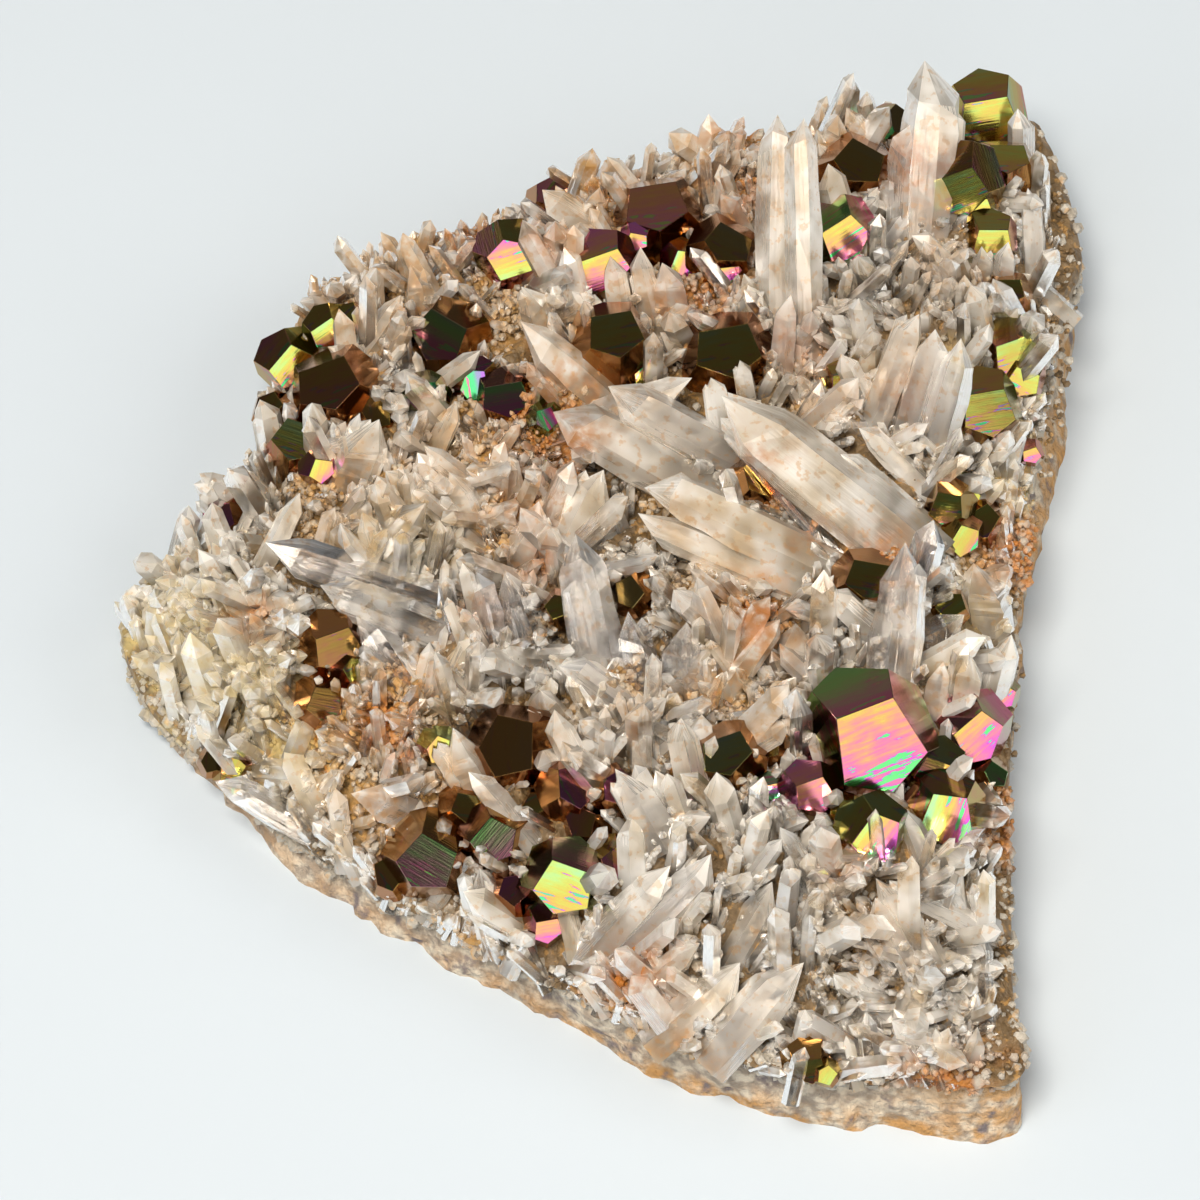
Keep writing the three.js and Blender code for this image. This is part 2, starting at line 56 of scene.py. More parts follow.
# The view that places are read in: from in front and above, along a 3-4-5 triangle.
VIEW_SIN = 0.8
VIEW_COS = 0.6
VIEW_DISTANCE = 600.0
VIEW_HEIGHT = 12.0  # of the middle of the view, above the base
VIEW_WIDTH = 120.0  # millimetres across the picture at that distance
ORIGIN = np.array([1.457, 6.365, 0.0])  # the specimen's origin in that frame
EYE = np.array([0, -VIEW_DISTANCE * VIEW_COS, VIEW_HEIGHT + VIEW_DISTANCE * VIEW_SIN])

# The plate
MIDDLE = np.array([5.0, 0.0])  # the rings of the plate close in on this point
SEAT_CORNERS = 32  # corners of the rim that heights are worked out from
FINE_CORNERS = 420  # corners of the rim as it is drawn
ROCK_TOP = 6.0
ROCK_TILT = 0.06  # the rock is thicker to the right
ROCK_LUMPS = 0.35
JOINT = 0.3  # between the quartz and the rock
INNER_EDGE = 0.55  # where the joint is closed, as a share of the way out to the rim
WALL_RINGS = 14  # rings of the rock's wall
CRUST_RINGS = 72  # rings of the top of the crust
CURVE_STEPS = 40  # points between two rows of the table of the rim
BARE_WALL_FROM = 34.0  # right of this the rock shows in the wall
LIP_LEFT = 0.35  # share of the crumbs on the lip there

# The crust
CRUST_THICKNESS = 9.2
CRUST_SHOULDER = 13.0  # width of the slope from there to the rim
CRUST_LUMPS = 0.9
LEAST_CRUST = 0.8  # of the lip's thickness is left where the crust is thinnest
FRONT_SLOPE_FROM = -34.0  # in front of this line the crust thins towards the front edge
FRONT_SLOPE = 0.17

# Rim of the plate: across, up, height, batter, lip. The first three give the edge as seen, at
# that height. The batter is how far the top of the wall stands back from its foot, and the lip is
# the thickness of the crust there.
RIM = [
    (41.8, -53.3, 0, 1.6, 1.6), (41.2, -45, 0, 1.8, 2), (41, -35, 0, 1.6, 2),
    (40.8, -25, 0, 1.6, 2), (41.8, -15, 0, 2, 2), (42.4, -8, 0, 2.4, 2), (43.2, 0, 0, 3, 2),
    (45.2, 8, 0, 4, 2.4), (46.8, 16, 0, 4.6, 2.4), (47, 22, 0, 3.6, 2.4), (47.8, 30, 5, 1, 2.8),
    (46.6, 37, 9, 0, 3), (45, 43.5, 11, -1, 3), (42.5, 48.2, 13, -2, 3.4), (36, 48.5, 13, -2, 3.4),
    (27, 48.2, 13, -2, 3.6), (18, 48.2, 13, -2, 3.6), (12, 46.6, 13, -2, 3.6),
    (5, 44.5, 13, -2, 3.6), (-3, 42.8, 13, -2, 3.6), (-10, 40, 13, -2, 3.6),
    (-17, 38.6, 13, -2, 3.6), (-23, 35.6, 12, -2, 3.6), (-29, 31.4, 12, -2, 3.6),
    (-30.6, 27, 11, -2, 3.4), (-33, 22, 10, -2, 3.2), (-33.5, 16.5, 9, -2, 3),
    (-36.5, 11.6, 8, -2, 3), (-41, 6.5, 8, -2, 3), (-45.2, 2, 7, -2, 3),
    (-46.8, -2.5, 5, -1.4, 2.8), (-45.6, -8.5, 3, -1, 2.4), (-43.6, -13, 1, -0.4, 2),
    (-40.6, -17, 0, 0.6, 1.6), (-35.8, -22, 0, 1.2, 1.4), (-30.6, -27.2, 0, 1.4, 1.2),
    (-24.4, -31.4, 0, 1.4, 1.2), (-16.4, -36, 0, 1.4, 1.2), (-8, -40.8, 0, 1.4, 1.2),
    (0, -45, 0, 1.4, 1.2), (9, -49.5, 0, 1.4, 1.4), (19, -52.2, 0, 1.6, 1.4),
    (31, -53.4, 0, 1.6, 1.6),
]

# Mounds and hollows of the crust: across, up, radius, rise.
SWELLS = [
    (-24, 11, 9, 3.0), (-2, 18, 9, 2.6), (22, 12, 11, 2.2), (30, -2, 8, 2.0), (-14, -8, 9, 2.4),
    (-33, -5, 10, 1.6), (4, -38, 8, 2.6), (15, 27, 7, 2.0), (-24, 31, 8, 2.4), (-26, -19, 7, 1.6),
    (12, -2, 8, 1.4), (27, -29, 8, 1.8), (-8, -15, 7, -1.8), (-4, -26, 7, -2.0),
    (27, -17, 8, -1.6), (-14, 24, 7, -1.8), (7, 33, 8, -1.2), (12, 22, 5, -1.4), (38, 8, 5, -1.0),
]

# The larger quartz crystals, which are milky: root across, root up, tip across, tip up, rise of
# the tip, width, flatness. The flatness is the thickness over the width.
CRYSTALS = [
    (17.2, 25.5, 17.6, 48.6, 14, 3.6, 0.9), (20.4, 25, 19.8, 48.2, 14, 3.6, 0.8),
    (32.4, 37, 33.6, 54, 10.4, 6.2, 0.7), (30.6, 36.4, 31.2, 48, 8, 4.0, 0.8),
    (28.2, 34.5, 32.6, 40.6, 4, 3.6, 0.7), (27.2, 17, 31.4, 28.8, 9, 3.6, 0.8),
    (30.6, 16, 34, 27, 9, 3.4, 0.8), (33.4, 15.2, 36.4, 26, 9, 3.6, 0.8),
    (32, 4, 12, 20.2, 8, 8.6, 0.62), (24, 10, 12.6, 20.6, 6, 5.6, 0.5),
    (12.2, 16.5, 11.4, 22.4, 5, 2.2, 0.8), (23.2, 3, 4.8, 12, 6.5, 4.6, 0.7),
    (23, 0.2, 3.6, 8.2, 5.5, 4.4, 0.7), (35.5, 8, 26, 17.4, 6, 2.8, 0.5),
    (33, 7, 24.2, 14.8, 5.5, 2.4, 0.5), (0.6, 19.8, -8.2, 27.4, 7.5, 5.0, 0.7),
    (-5.4, 26, -7.6, 31.4, 6, 3.6, 0.7), (-4.4, 17, 9.4, 21.6, 5, 3.8, 0.4),
    (12, 9.5, -4.6, 19, 7, 6.0, 0.7), (14.6, 13.6, 0.8, 21.2, 6, 5.0, 0.7),
    (-4, 4, 0.4, 13, 6, 4.2, 0.6), (-8.6, 3.5, -5.6, 9.6, 5, 3.4, 0.7),
    (-33.4, 3.6, -29.8, 10.6, 4.5, 2.4, 0.8), (-24.6, 12.6, -22.4, 17.8, 5, 5.2, 0.9),
    (-17.4, 13, -14.2, 19.8, 5, 2.4, 0.6), (-11, 10, -17.6, 15.4, 4.5, 2.4, 0.6),
    (-12.4, 7.6, -14.8, 13, 4, 3.0, 0.7), (-24.6, 23.4, -19.8, 30.4, 5.5, 2.2, 0.9),
    (-16.6, 29.6, -20, 36.6, 5, 2.6, 0.8), (-17.6, 28.8, -18.4, 33.6, 4, 3.0, 0.6),
    (-31, -16.4, -28.6, -10.4, 4.5, 2.4, 0.8), (-29.4, -21.6, -27.2, -17, 4, 2.0, 0.8),
    (-6.2, -25.4, -13, -17, 5, 2.6, 0.8), (-12.4, -17.8, -15.4, -13, 4, 4.6, 0.7),
    (-18.2, -21.6, -24.6, -18.6, 3, 4.0, 0.8), (3.4, -30, 3, -21, 7, 2.9, 0.9),
    (6, -23.6, 2, -16.6, 5, 4.4, 0.8), (0.4, -37, 11.8, -26, 7, 4.0, 0.7),
    (-1.4, -35.6, 7.2, -26.6, 6, 4.2, 0.7), (13.4, -36, 17.6, -28.6, 6, 3.6, 0.7),
    (6, -43.6, 14.2, -36.6, 6, 4.4, 0.7), (11.6, -45.4, 20, -35.8, 7, 5.0, 0.6),
    (9, -42, 14, -38.2, 4, 2.4, 0.8), (-2, -37, -4, -28, 6.5, 2.2, 0.8),
    (-17, -31, -14.4, -27.4, 3.5, 2.0, 0.8), (33.2, -27.4, 30.4, -20.8, 5, 2.6, 0.8),
    (32.8, -36, 27.6, -28, 6, 3.2, 0.8), (39.2, -33.4, 29.2, -28.8, 4.5, 3.2, 0.7),
    (38.6, -2, 37.6, 3.6, 4.5, 5.8, 0.8), (13.6, -7, 9.4, 2.2, 6, 2.2, 0.8),
    (18.8, -6.6, 19.6, -2.2, 3.5, 4.0, 0.8), (33.2, -12.6, 34.2, -6.2, 5, 2.4, 0.8),
    (40, 31, 40.6, 35.8, 4.5, 2.4, 0.8), (43.4, 31.4, 43, 41.2, 7, 2.4, 0.8),
    (46.6, 28.6, 42, 32.6, 2, 2.6, 0.8), (38, 32, 38.6, 35.4, 3.5, 2.2, 0.7),
    (5.4, 27.6, 3.6, 35.2, 5.5, 2.6, 0.8), (7.4, 28.6, 6.6, 33.8, 4.5, 3.2, 0.8),
    (2.2, 28, 1.4, 34.4, 5, 2.8, 0.8), (18.2, 22.6, 18.8, 30.6, 6, 2.6, 0.8),
]

# The larger crystals that are grey and see-through, in the same form.
GREY_CRYSTALS = [
    (0.2, -7.4, -2.4, 6.6, 8, 4.8, 0.75), (-6.6, -6.8, -9.6, 3, 6.5, 3.2, 0.8),
    (-10.6, -5, -12.2, 2.8, 5.5, 2.8, 0.8), (-13.2, -1.4, -33.6, 5.4, 5, 5.0, 0.6),
    (-15.4, -3.4, -28, 1.4, 4, 4.2, 0.6), (4.6, -9.4, 2.6, -1.2, 5, 4.6, 0.7),
    (8.6, -8.4, 8, -2.4, 4.5, 4.4, 0.6), (28.8, -11.6, 30.8, 5.8, 9.5, 5.0, 0.6),
    (31.4, 1.4, 33.4, 8, 5, 3.0, 0.6), (31, -4.6, 36.6, -1.6, 2.5, 3.4, 0.6),
    (-18.6, -9, -23.8, -1.2, 5, 4.4, 0.7), (-29.6, -22.8, -38.2, -17.8, 2, 3.4, 0.6),
]

# Smaller, clear quartz crystals that stand out one by one, in the same form.
LESSER_CRYSTALS = [
    (-12.6, 29.4, -17, 35.6, 4, 1.6, 0.9), (-8.2, -34, -13.4, -29, 4.5, 1.8, 0.8),
    (-8.4, -32.6, -5.4, -28.6, 3.5, 1.8, 0.8), (28, -28, 27.4, -20.8, 6, 1.7, 0.9),
    (31.8, -28.2, 33.4, -22.8, 4, 1.1, 0.9), (33.6, -35.8, 32.6, -31.8, 3.5, 1.4, 0.9),
    (26, -39, 28.6, -32.8, 5, 1.5, 0.9), (19.4, -49, 20.4, -44.6, 4, 1.6, 0.9),
    (11.6, 26.4, 16.4, 31, 4, 1.9, 0.8), (21.2, 17, 22.2, 22.2, 4, 1.5, 0.9),
    (15, 18.6, 14.2, 24, 4.5, 1.9, 0.9), (28.6, 36, 24, 41.6, 3, 1.7, 0.9),
    (27, 31, 31, 36, 4, 1.8, 0.8), (-19.6, 23, -20.4, 29.8, 5, 2, 0.8),
    (-20.6, -29.8, -19, -25.6, 3.5, 2, 0.7), (22.4, -40.6, 20.8, -36.8, 3, 2, 0.8),
    (-5.6, 27.8, -0.8, 29.8, 3, 2, 0.8), (-32.6, -19.4, -32, -16.2, 3.5, 2.2, 0.8),
    (24.5, 3.4, 12.4, 17.2, 4.5, 1.5, 0.8), (13, 17.4, 11, 22, 4, 2.0, 0.8),
    (30, -43, 33, -37, 3.4, 3.4, 0.7), (35, -43.6, 37.4, -37.4, 3.4, 3.2, 0.7),
    (39, -42.4, 36, -38.8, 3, 2.4, 0.8), (27, -44.6, 24.4, -40, 3.4, 2.8, 0.7),
    (32.4, -45.4, 29.4, -40.8, 3.4, 2.6, 0.8), (36.6, -47, 38.2, -42.8, 2.6, 2.2, 0.8),
    (22, -45.6, 24.8, -41.2, 3.4, 2.6, 0.7), (33.6, -40.6, 31.2, -36, 3.4, 2.6, 0.7),
]

# Pyrite crystals by piece: across, up, face distance, rise, face right, face up, turn, then the
# film: its thickness in nanometres in the middle of the leading face, its slope over that face in
# nanometres per millimetre, its mean thickness on the other faces, and its brightness, which is
# partly real brown tarnish and partly painted shade, low on the crystals turned from the light.
# A last number is how much farther out than the leading face its neighbour is.
PYRITES = {
    "pyrite_large_cluster": [
        (26.6, -13.8, 5.8, 2.2, 8, -9, 201, 978, 12, 1478, 0.95, 1.0),
        (33, -16.8, 2.9, 1.8, 12, -10, 160, 950, 30, 880, 0.9),
        (21, -18.9, 2.6, 1.4, 7, -13, 200, 975, 15, 1010, 0.95),
        (24.2, -21.2, 1.9, 0.8, 4, -13, 190, 900, 30, 900, 1.0),
        (27.2, -23, 3.2, 1.2, 5, -14, 236, 940, 60, 880, 1.0),
        (34.2, -21, 3.5, 1.2, 2, -12, 250, 920, 60, 900, 1.0),
    ],
    "pyrite_right_pink": [(37.2, -12.8, 3.4, 1.6, 6, -13, 222, 970, 30, 1475, 0.95)],
    "pyrite_middle_pair": [
        (8.8, -18.6, 2.1, 0.8, -14, -4, 180, 980, 160, 880, 0.6),
        (13.2, -15.8, 3.1, 0.8, -12, 14, 200, 820, 20, 860, 0.5),
    ],
    "pyrite_centre_pair": [
        (-8.8, -15.2, 4.1, 2.0, -3, 10, 90, 850, 30, 900, 0.3),
        (-3, -19, 2.8, 0.8, 16, 10, 120, 1000, 50, 950, 0.5),
    ],
    "pyrite_front_left_pair": [
        (-17, -25.6, 4.0, 1.6, -3, -8, 150, 1475, 25, 890, 0.6),
        (-10.4, -23.6, 3.0, 1.6, -3, -8, 230, 1462, 40, 930, 0.6),
    ],
    "pyrite_front_trio": [
        (-3.6, -27.8, 3.7, 1.6, 0, -9, 160, 872, 26, 1460, 0.95),
        (-5.4, -32.4, 2.0, 0.9, 5, -12, 190, 975, 30, 960, 0.95),
        (1, -26, 2.2, 0.9, 20, -6, 140, 950, 60, 900, 0.8),
    ],
    "pyrite_left_bronze_pair": [
        (-27, -4.4, 3.0, 1.2, 14, -8, 200, 925, 15, 930, 0.5),
        (-28, -10, 2.4, 0.8, 14, -4, 170, 925, 15, 930, 0.45),
    ],
    "pyrite_left_edge": [(-37, -16.6, 1.8, 0.8, 8, -12, 60, 915, 20, 930, 0.7)],
    "pyrite_left_rim": [(-37, 8.6, 2.6, 1.8, -28, -4, 180, 1050, 40, 980, 0.5)],
    "pyrite_left_brown_pair": [
        (-30, 14.8, 3.3, 1.4, -8, 24, 160, 860, 20, 900, 0.6),
        (-26.2, 20.6, 4.2, 1.9, -14, 16, 200, 940, 20, 900, 0.45),
    ],
    "pyrite_left_lime_pair": [
        (-30.8, 24, 3.1, 2.4, 2, -14, 230, 905, 45, 930, 1.0),
        (-27.2, 27.2, 2.2, 3.4, 2, -14, 215, 900, 60, 930, 1.0),
    ],
    "pyrite_hollow_trio": [
        (-15.2, 25.8, 3.9, 1.8, -12, 10, 150, 1450, 110, 900, 0.5),
        (-12.6, 21.8, 2.3, 1.0, 5, -12, 100, 1240, 120, 930, 1.0),
        (-9.2, 20, 3.0, 1.2, -6, 4, 190, 1470, 60, 960, 0.6),
    ],
    "pyrite_hollow_banded": [(-17.4, 20.6, 2.1, 1.0, -6, -4, 30, 1200, 200, 1300, 0.8)],
    "pyrite_back_bright": [(-9, 34.4, 3.3, 1.4, 2, -13, 18, 915, 40, 930, 1.0)],
    "pyrite_back_pair": [
        (0.2, 33.6, 3.3, 1.6, 3, -14, 200, 955, 35, 960, 1.0),
        (5.8, 37.4, 4.3, 2.0, -6, 26, 190, 985, 15, 930, 0.45),
    ],
    "pyrite_back_black": [(12.2, 34.8, 3.2, 1.2, 14, 14, 150, 830, 20, 850, 0.4)],
    "pyrite_back_right_pink": [(24.2, 36.8, 3.3, 1.6, 3, -14, 214, 945, 30, 1440, 1.0)],
    "pyrite_back_right_black": [(25.2, 42.8, 3.3, 1.6, 12, 16, 150, 850, 20, 900, 0.4)],
    "pyrite_back_rim": [(29, 47, 2.3, 1.4, -30, 4, 190, 1260, 60, 1300, 0.7)],
    "pyrite_corner_gold": [(38.4, 48.8, 4.0, 2.2, 3, -15, 190, 895, 12, 890, 0.95)],
    "pyrite_corner_trio": [
        (36.2, 42, 3.9, 1.8, -7, -19, 200, 880, 15, 900, 0.85),
        (40.4, 43, 3.0, 1.6, 4, 26, 180, 900, 20, 890, 0.6),
        (38.8, 36.4, 2.6, 1.0, 6, -16, 180, 900, 20, 900, 0.9),
    ],
    "pyrite_rim_olive": [(40.8, 30.4, 2.2, 0.8, -4, 14, 180, 900, 20, 900, 0.6)],
    "pyrite_rim_gold": [
        (41.2, 25, 3.2, 1.6, 8, -14, 200, 900, 30, 890, 0.8),
        (42, 22.2, 2.3, 1.0, 5, -12, 160, 890, 20, 900, 0.9),
    ],
    "pyrite_side_gold": [(38.2, 19.2, 3.5, 1.8, 9, -6, 190, 903, 15, 890, 0.86)],
    "pyrite_side_pair": [
        (35, 9.4, 2.4, 1.0, -10, -6, 170, 900, 30, 890, 0.7),
        (37.6, 7.6, 2.5, 1.0, 4, 6, 210, 900, 30, 890, 0.6),
    ],
    "pyrite_middle_brown": [(13, 23.8, 4.3, 1.4, -4, 14, 190, 870, 20, 900, 0.5)],
    "pyrite_middle_dark": [(1, 25.4, 3.9, 1.2, 6, 20, 190, 870, 20, 900, 0.5)],
    "pyrite_middle_spark": [(24.2, 21.8, 2.0, 1.2, 5, -12, 190, 930, 60, 950, 1.0)],
    "pyrite_rust_nest": [(26.4, 1.6, 3.1, 0.8, 6, 12, 170, 880, 20, 900, 0.5)],
    "pyrite_middle_slate": [(3.6, 0.6, 2.1, 1.0, -20, 10, 130, 840, 20, 850, 0.4)],
    "pyrite_front_wall": [(20.6, -46, 2.2, 0.6, 4, -20, 190, 900, 40, 900, 0.6)],
}

# Pyrite crystals that are too small to be solids of their own, in the same form.
SMALL_PYRITES = [
    (39.8, -9.2, 1.9, 1, 6, -12, 225, 920, 90, 1400, 0.95),
    (38.6, -17.4, 1.8, 0.8, 32, 2, 150, 1400, 30, 1400, 0.6),
    (17, -18.8, 1.4, 1, 5, -12, 190, 1100, 250, 1200, 1.0),
    (-28, 13.2, 1.8, 2.4, 5, -12, 250, 940, 60, 950, 1.0),
    (-5.4, 18.2, 1.7, 0.8, 8, -4, 120, 1200, 250, 1300, 0.9),
    (8.2, 34, 2, 1.6, 5, -12, 250, 950, 120, 950, 1.0),
    (37.8, 39.4, 1.6, 1.6, 5, -12, 190, 900, 20, 900, 1.0),
    (43, 14.8, 1.3, 0.8, 5, -12, 200, 950, 60, 950, 0.95),
    (-25.2, -7, 1.8, 0.8, 30, 0, 20, 880, 20, 900, 0.7),
    (-38.4, -16.2, 1.6, 0.8, -8, 4, 90, 840, 20, 850, 0.4),
    (3.6, 36.2, 1.5, 3.4, 5, -12, 170, 950, 60, 1050, 1.0),
    (12.4, 33.4, 1.9, 2, 5, -12, 200, 930, 90, 1000, 1.0),
    (4.3, 24.6, 1.6, 1.8, 5, -12, 230, 950, 120, 950, 1.0),
    (36, 6.4, 2.2, 0.8, 8, -12, 240, 905, 40, 900, 0.85),
    (36.8, 10.8, 1.7, 1.4, 5, -12, 130, 900, 40, 1400, 0.85),
    (-25.2, 27.4, 2.2, 1, -10, 20, 40, 880, 20, 900, 0.6),
    (4.4, 22.6, 1.4, 1, 5, -12, 70, 880, 60, 930, 1.0),
    (15.8, 11.4, 2.8, 0.6, 10, 16, 130, 870, 20, 900, 0.45),
    (-3.8, -1, 1.8, 0.8, -10, 6, 20, 880, 20, 900, 0.55),
    (-16.2, -14.6, 1.8, 0.8, 5, -12, 80, 910, 40, 900, 1.0),
    (-10.6, -12.4, 1.3, 0.8, 5, -12, 200, 910, 40, 900, 1.0),
    (-4.6, 39.6, 2.6, 0.6, 0, 24, 60, 1000, 20, 950, 0.45),
    (34.6, -1, 2.0, 0.8, 12, 10, 30, 880, 20, 900, 0.6),
    (22.5, -47.2, 1.3, 0.8, 10, -14, 60, 890, 40, 900, 0.9),
    (1.4, -19.2, 2.3, 0.8, 16, 12, 60, 1010, 40, 960, 0.5),
    (5.2, -20.6, 1.8, 0.8, 14, 8, 20, 930, 40, 900, 0.45),
    (-1.4, -22.6, 2.2, 0.8, -12, 10, 80, 960, 40, 930, 0.45),
    (-20.6, -27.4, 2.2, 0.8, -12, 6, 130, 915, 30, 920, 0.5),
    (-8.8, -29.2, 2.2, 0.8, 12, 8, 40, 1000, 40, 980, 0.5),
    (-13.6, -21, 2.4, 0.8, 16, 6, 170, 880, 30, 900, 0.45),
    (17.4, -14.6, 2, 0.8, -14, 8, 90, 870, 30, 900, 0.45),
    (-6, -20.8, 1.8, 0.8, -12, 12, 30, 900, 30, 900, 0.5),
    (-22.6, 18.2, 2.4, 1, 14, 10, 90, 900, 20, 900, 0.45),
    (-32.6, 18.8, 2, 0.8, -14, 14, 50, 880, 20, 900, 0.45),
]

# Stains on the quartz, by kind: across, up, radius, strength.
STAINS = {
    "rust": [
        (-4, 17, 6, 0.9), (-6, 21, 4, 0.7), (4, -38, 5, 1.0), (31, 44, 4, 1.0),
        (14.5, 40, 3.4, 0.8), (28, 4, 4.4, 1.0), (16, -2, 4, 1.0), (43, 5, 6, 0.9),
        (33, -51, 7, 0.9), (14, 48.5, 4, 1.0), (10, 31, 4, 0.8), (36, 41, 3, 0.9), (20, 26, 4, 0.7),
        (15, 14, 1.6, 1.0), (18, 10.5, 1.6, 1.0), (21, 7, 1.6, 1.0), (-22, -12, 4, 1.0),
        (-35, -2, 3, 0.8), (-20, -15, 3, 0.8), (-6, 4, 3, 0.8), (-8, 10, 3, 0.7), (24, -26, 3, 0.7),
        (30, 20, 3, 0.6), (-5, 36, 3, 0.8), (-12, -1, 3, 0.5), (40, -22, 4, 0.8), (-13, 37, 4, 0.8),
        (3, 40, 3, 0.9),
    ],
    "tan": [
        (-25, -12, 6, 0.9), (-20, -9, 5, 0.9), (-27, 12, 5, 0.8), (19, -3.5, 3, 1.0),
        (-15, -37, 5, 0.8), (4, -46, 6, 0.7), (-11, 41, 4, 0.9), (-29, 32, 4, 0.8), (0, 38, 5, 0.8),
        (-10, 8, 5, 0.7), (0, 22, 7, 0.6), (33, -9, 4, 0.6), (-16, 15, 7, 0.5), (5, 30, 5, 0.6),
        (30, 23, 5, 0.4), (-26, -17, 5, 0.6), (8, 8, 4, 0.5), (-14, -20, 4, 0.5), (-21, 10, 5, 0.5),
        (12, -10, 4, 0.8), (18, -12, 4, 0.8), (2, -10, 4, 0.5), (-16, -18, 4, 0.8),
        (36, 33, 4, 0.5), (-22, -21, 5, 0.8), (-10, 29, 4, 0.7), (-20, 27, 4, 0.7), (8, 41, 4, 0.7),
        (20, 45, 4, 0.6), (-28, 5, 4, 0.6), (-20, 34, 6, 0.9), (-2, 43, 5, 1.0), (10, 44, 5, 0.9),
        (24, 47, 4, 0.8), (-27, 29, 5, 0.7), (22, 20, 5, 0.6), (-2, 27, 5, 0.6), (12, 0, 5, 0.6),
        (-12, 16, 6, 0.6), (-6, -14, 5, 0.5), (28, -33, 5, 0.5), (10, -48, 5, 0.7),
        (34, 34, 4, 0.6),
    ],
    "straw": [
        (-42, -4, 9, 0.8), (-30, -14, 7, 0.6), (-36, -8, 8, 0.8), (-20, 6, 6, 0.5), (38, 0, 4, 0.6),
        (41, 10, 4, 0.7), (37, 24, 3, 0.6),
    ],
}

draws = np.random.default_rng(SEED)


def linear(colour):
    """Linear red, green, blue and full alpha of an sRGB hex colour."""
    channels = [int(colour[i:i + 2], 16) / 255 for i in (1, 3, 5)]
    return [c / 12.92 if c <= 0.04045 else ((c + 0.055) / 1.055) ** 2.4 for c in channels] + [1.0]


def unit(vectors):
    return vectors / np.linalg.norm(vectors, axis=-1, keepdims=True)


def gaps(places, across, up):
    """How far each seen place is from the one that is so far across and up."""
    return np.hypot(places[:, 0] - across, places[:, 1] - up)


def smooth(t):
    held = np.clip(t, 0, 1)
    return held * held * (3 - 2 * held)


# Large odd numbers that scatter neighbouring cells and seeds.
CELL_MIX = np.array([73856093, 19349663, 83492791])
SEED_MIX = 40503
LAST_MIX = 1274126177
LOW_BITS = 0xFFFFFF


def lattice(cells, seed):
    """Repeatable numbers from 0 to 1 for whole-numbered cells."""
    mixed = cells @ CELL_MIX + seed * SEED_MIX
    mixed = (mixed ^ (mixed >> 13)) * LAST_MIX
    return ((mixed ^ (mixed >> 16)) & LOW_BITS) / LOW_BITS


def noise(points, size, seed=0):
    """Smooth noise from -1 to 1 at each point, with lumps of that size in millimetres."""
    place = np.asarray(points, float) / size
    low = np.floor(place).astype(np.int64)
    share = smooth(place - low)
    total = np.zeros(len(place))
    for corner in itertools.product((0, 1), repeat=3):
        weight = np.prod(np.where(corner, share, 1 - share), axis=-1)
        total += weight * lattice(low + np.array(corner), seed)
    return 2 * total - 1


# Places

def seen(across, up, height):
    """The points at that height which are seen that far right of, and above, the view's middle."""
    across, up, height = np.broadcast_arrays(across, up, height)
    held = np.stack([across, up * VIEW_SIN, VIEW_HEIGHT + up * VIEW_COS], axis=-1)
    share = (height - EYE[2]) / (held[..., 2] - EYE[2])
    return EYE + share[..., None] * (held - EYE)


def view_of(points):
    """How far right of, and above, the middle of the view each point is seen."""
    toward = points - EYE
    look = np.array([0, VIEW_COS, -VIEW_SIN])
    onto = EYE + toward * (VIEW_DISTANCE / (toward @ look))[..., None]
    return np.stack([onto[..., 0], onto[..., 1] / VIEW_SIN], axis=-1)


def rim_corners(count):
    """Evenly spaced corners of the rim in plan: x, y, batter, lip."""
    rows = np.array(RIM, float)
    knots = np.hstack([seen(rows[:, 0], rows[:, 1], rows[:, 2])[:, :2], rows[:, 3:]])
    before, after, beyond = (np.roll(knots, by, axis=0) for by in (1, -1, -2))
    gaps = [
        np.sqrt(np.linalg.norm((b - a)[:, :2], axis=1))[:, None]
        for a, b in ((before, knots), (knots, after), (after, beyond))
    ]
    start = (knots - before) / gaps[0] - (after - before) / (gaps[0] + gaps[1])
    start = (start + (after - knots) / gaps[1]) * gaps[1]
    end = (after - knots) / gaps[1] - (beyond - knots) / (gaps[1] + gaps[2])
    end = (end + (beyond - after) / gaps[2]) * gaps[1]
    t = np.linspace(0, 1, CURVE_STEPS, endpoint=False)[None, :, None]
    a, b, c, d = (block[:, None, :] for block in (knots, after, start, end))
    curve = a + c * t + (3 * (b - a) - 2 * c - d) * t**2 + (2 * (a - b) + c + d) * t**3
    curve = curve.reshape(-1, 4)
    closed = np.vstack([curve, curve[:1]])
    steps = np.linalg.norm(np.diff(closed[:, :2], axis=0), axis=1)
    run = np.concatenate([[0], np.cumsum(steps)])
    wanted = np.linspace(0, run[-1], count, endpoint=False)
    return np.stack([np.interp(wanted, run, closed[:, k]) for k in range(4)], axis=1)


SEAT_RIM = rim_corners(SEAT_CORNERS)
FINE_RIM = rim_corners(FINE_CORNERS)


def rim_nearest(places):
    """How far each place is from the rim, and the lip at the nearest point of it."""
    start = SEAT_RIM[:, :2]
    side = np.roll(start, -1, axis=0) - start
    toward = places[:, None, :] - start
    share = np.clip((toward * side).sum(-1) / (side**2).sum(-1), 0, 1)
    gap = np.linalg.norm(toward - share[..., None] * side, axis=-1)
    best = gap.argmin(axis=1)
    rows = np.arange(len(places))
    lips = SEAT_RIM[:, 3]
    lip = lips[best] + share[rows, best] * (np.roll(lips, -1)[best] - lips[best])
    return gap[rows, best], lip


def lumps(x, y):
    wide = np.sin(0.31 * x + 1.3) * np.sin(0.27 * y + 0.4)
    return wide + 0.7 * np.sin(0.62 * x - 0.47 * y + 2.1)


def rock_top(places):
    x, y = places[..., 0], places[..., 1]
    return ROCK_TOP + ROCK_TILT * x + ROCK_LUMPS * lumps(x, y)


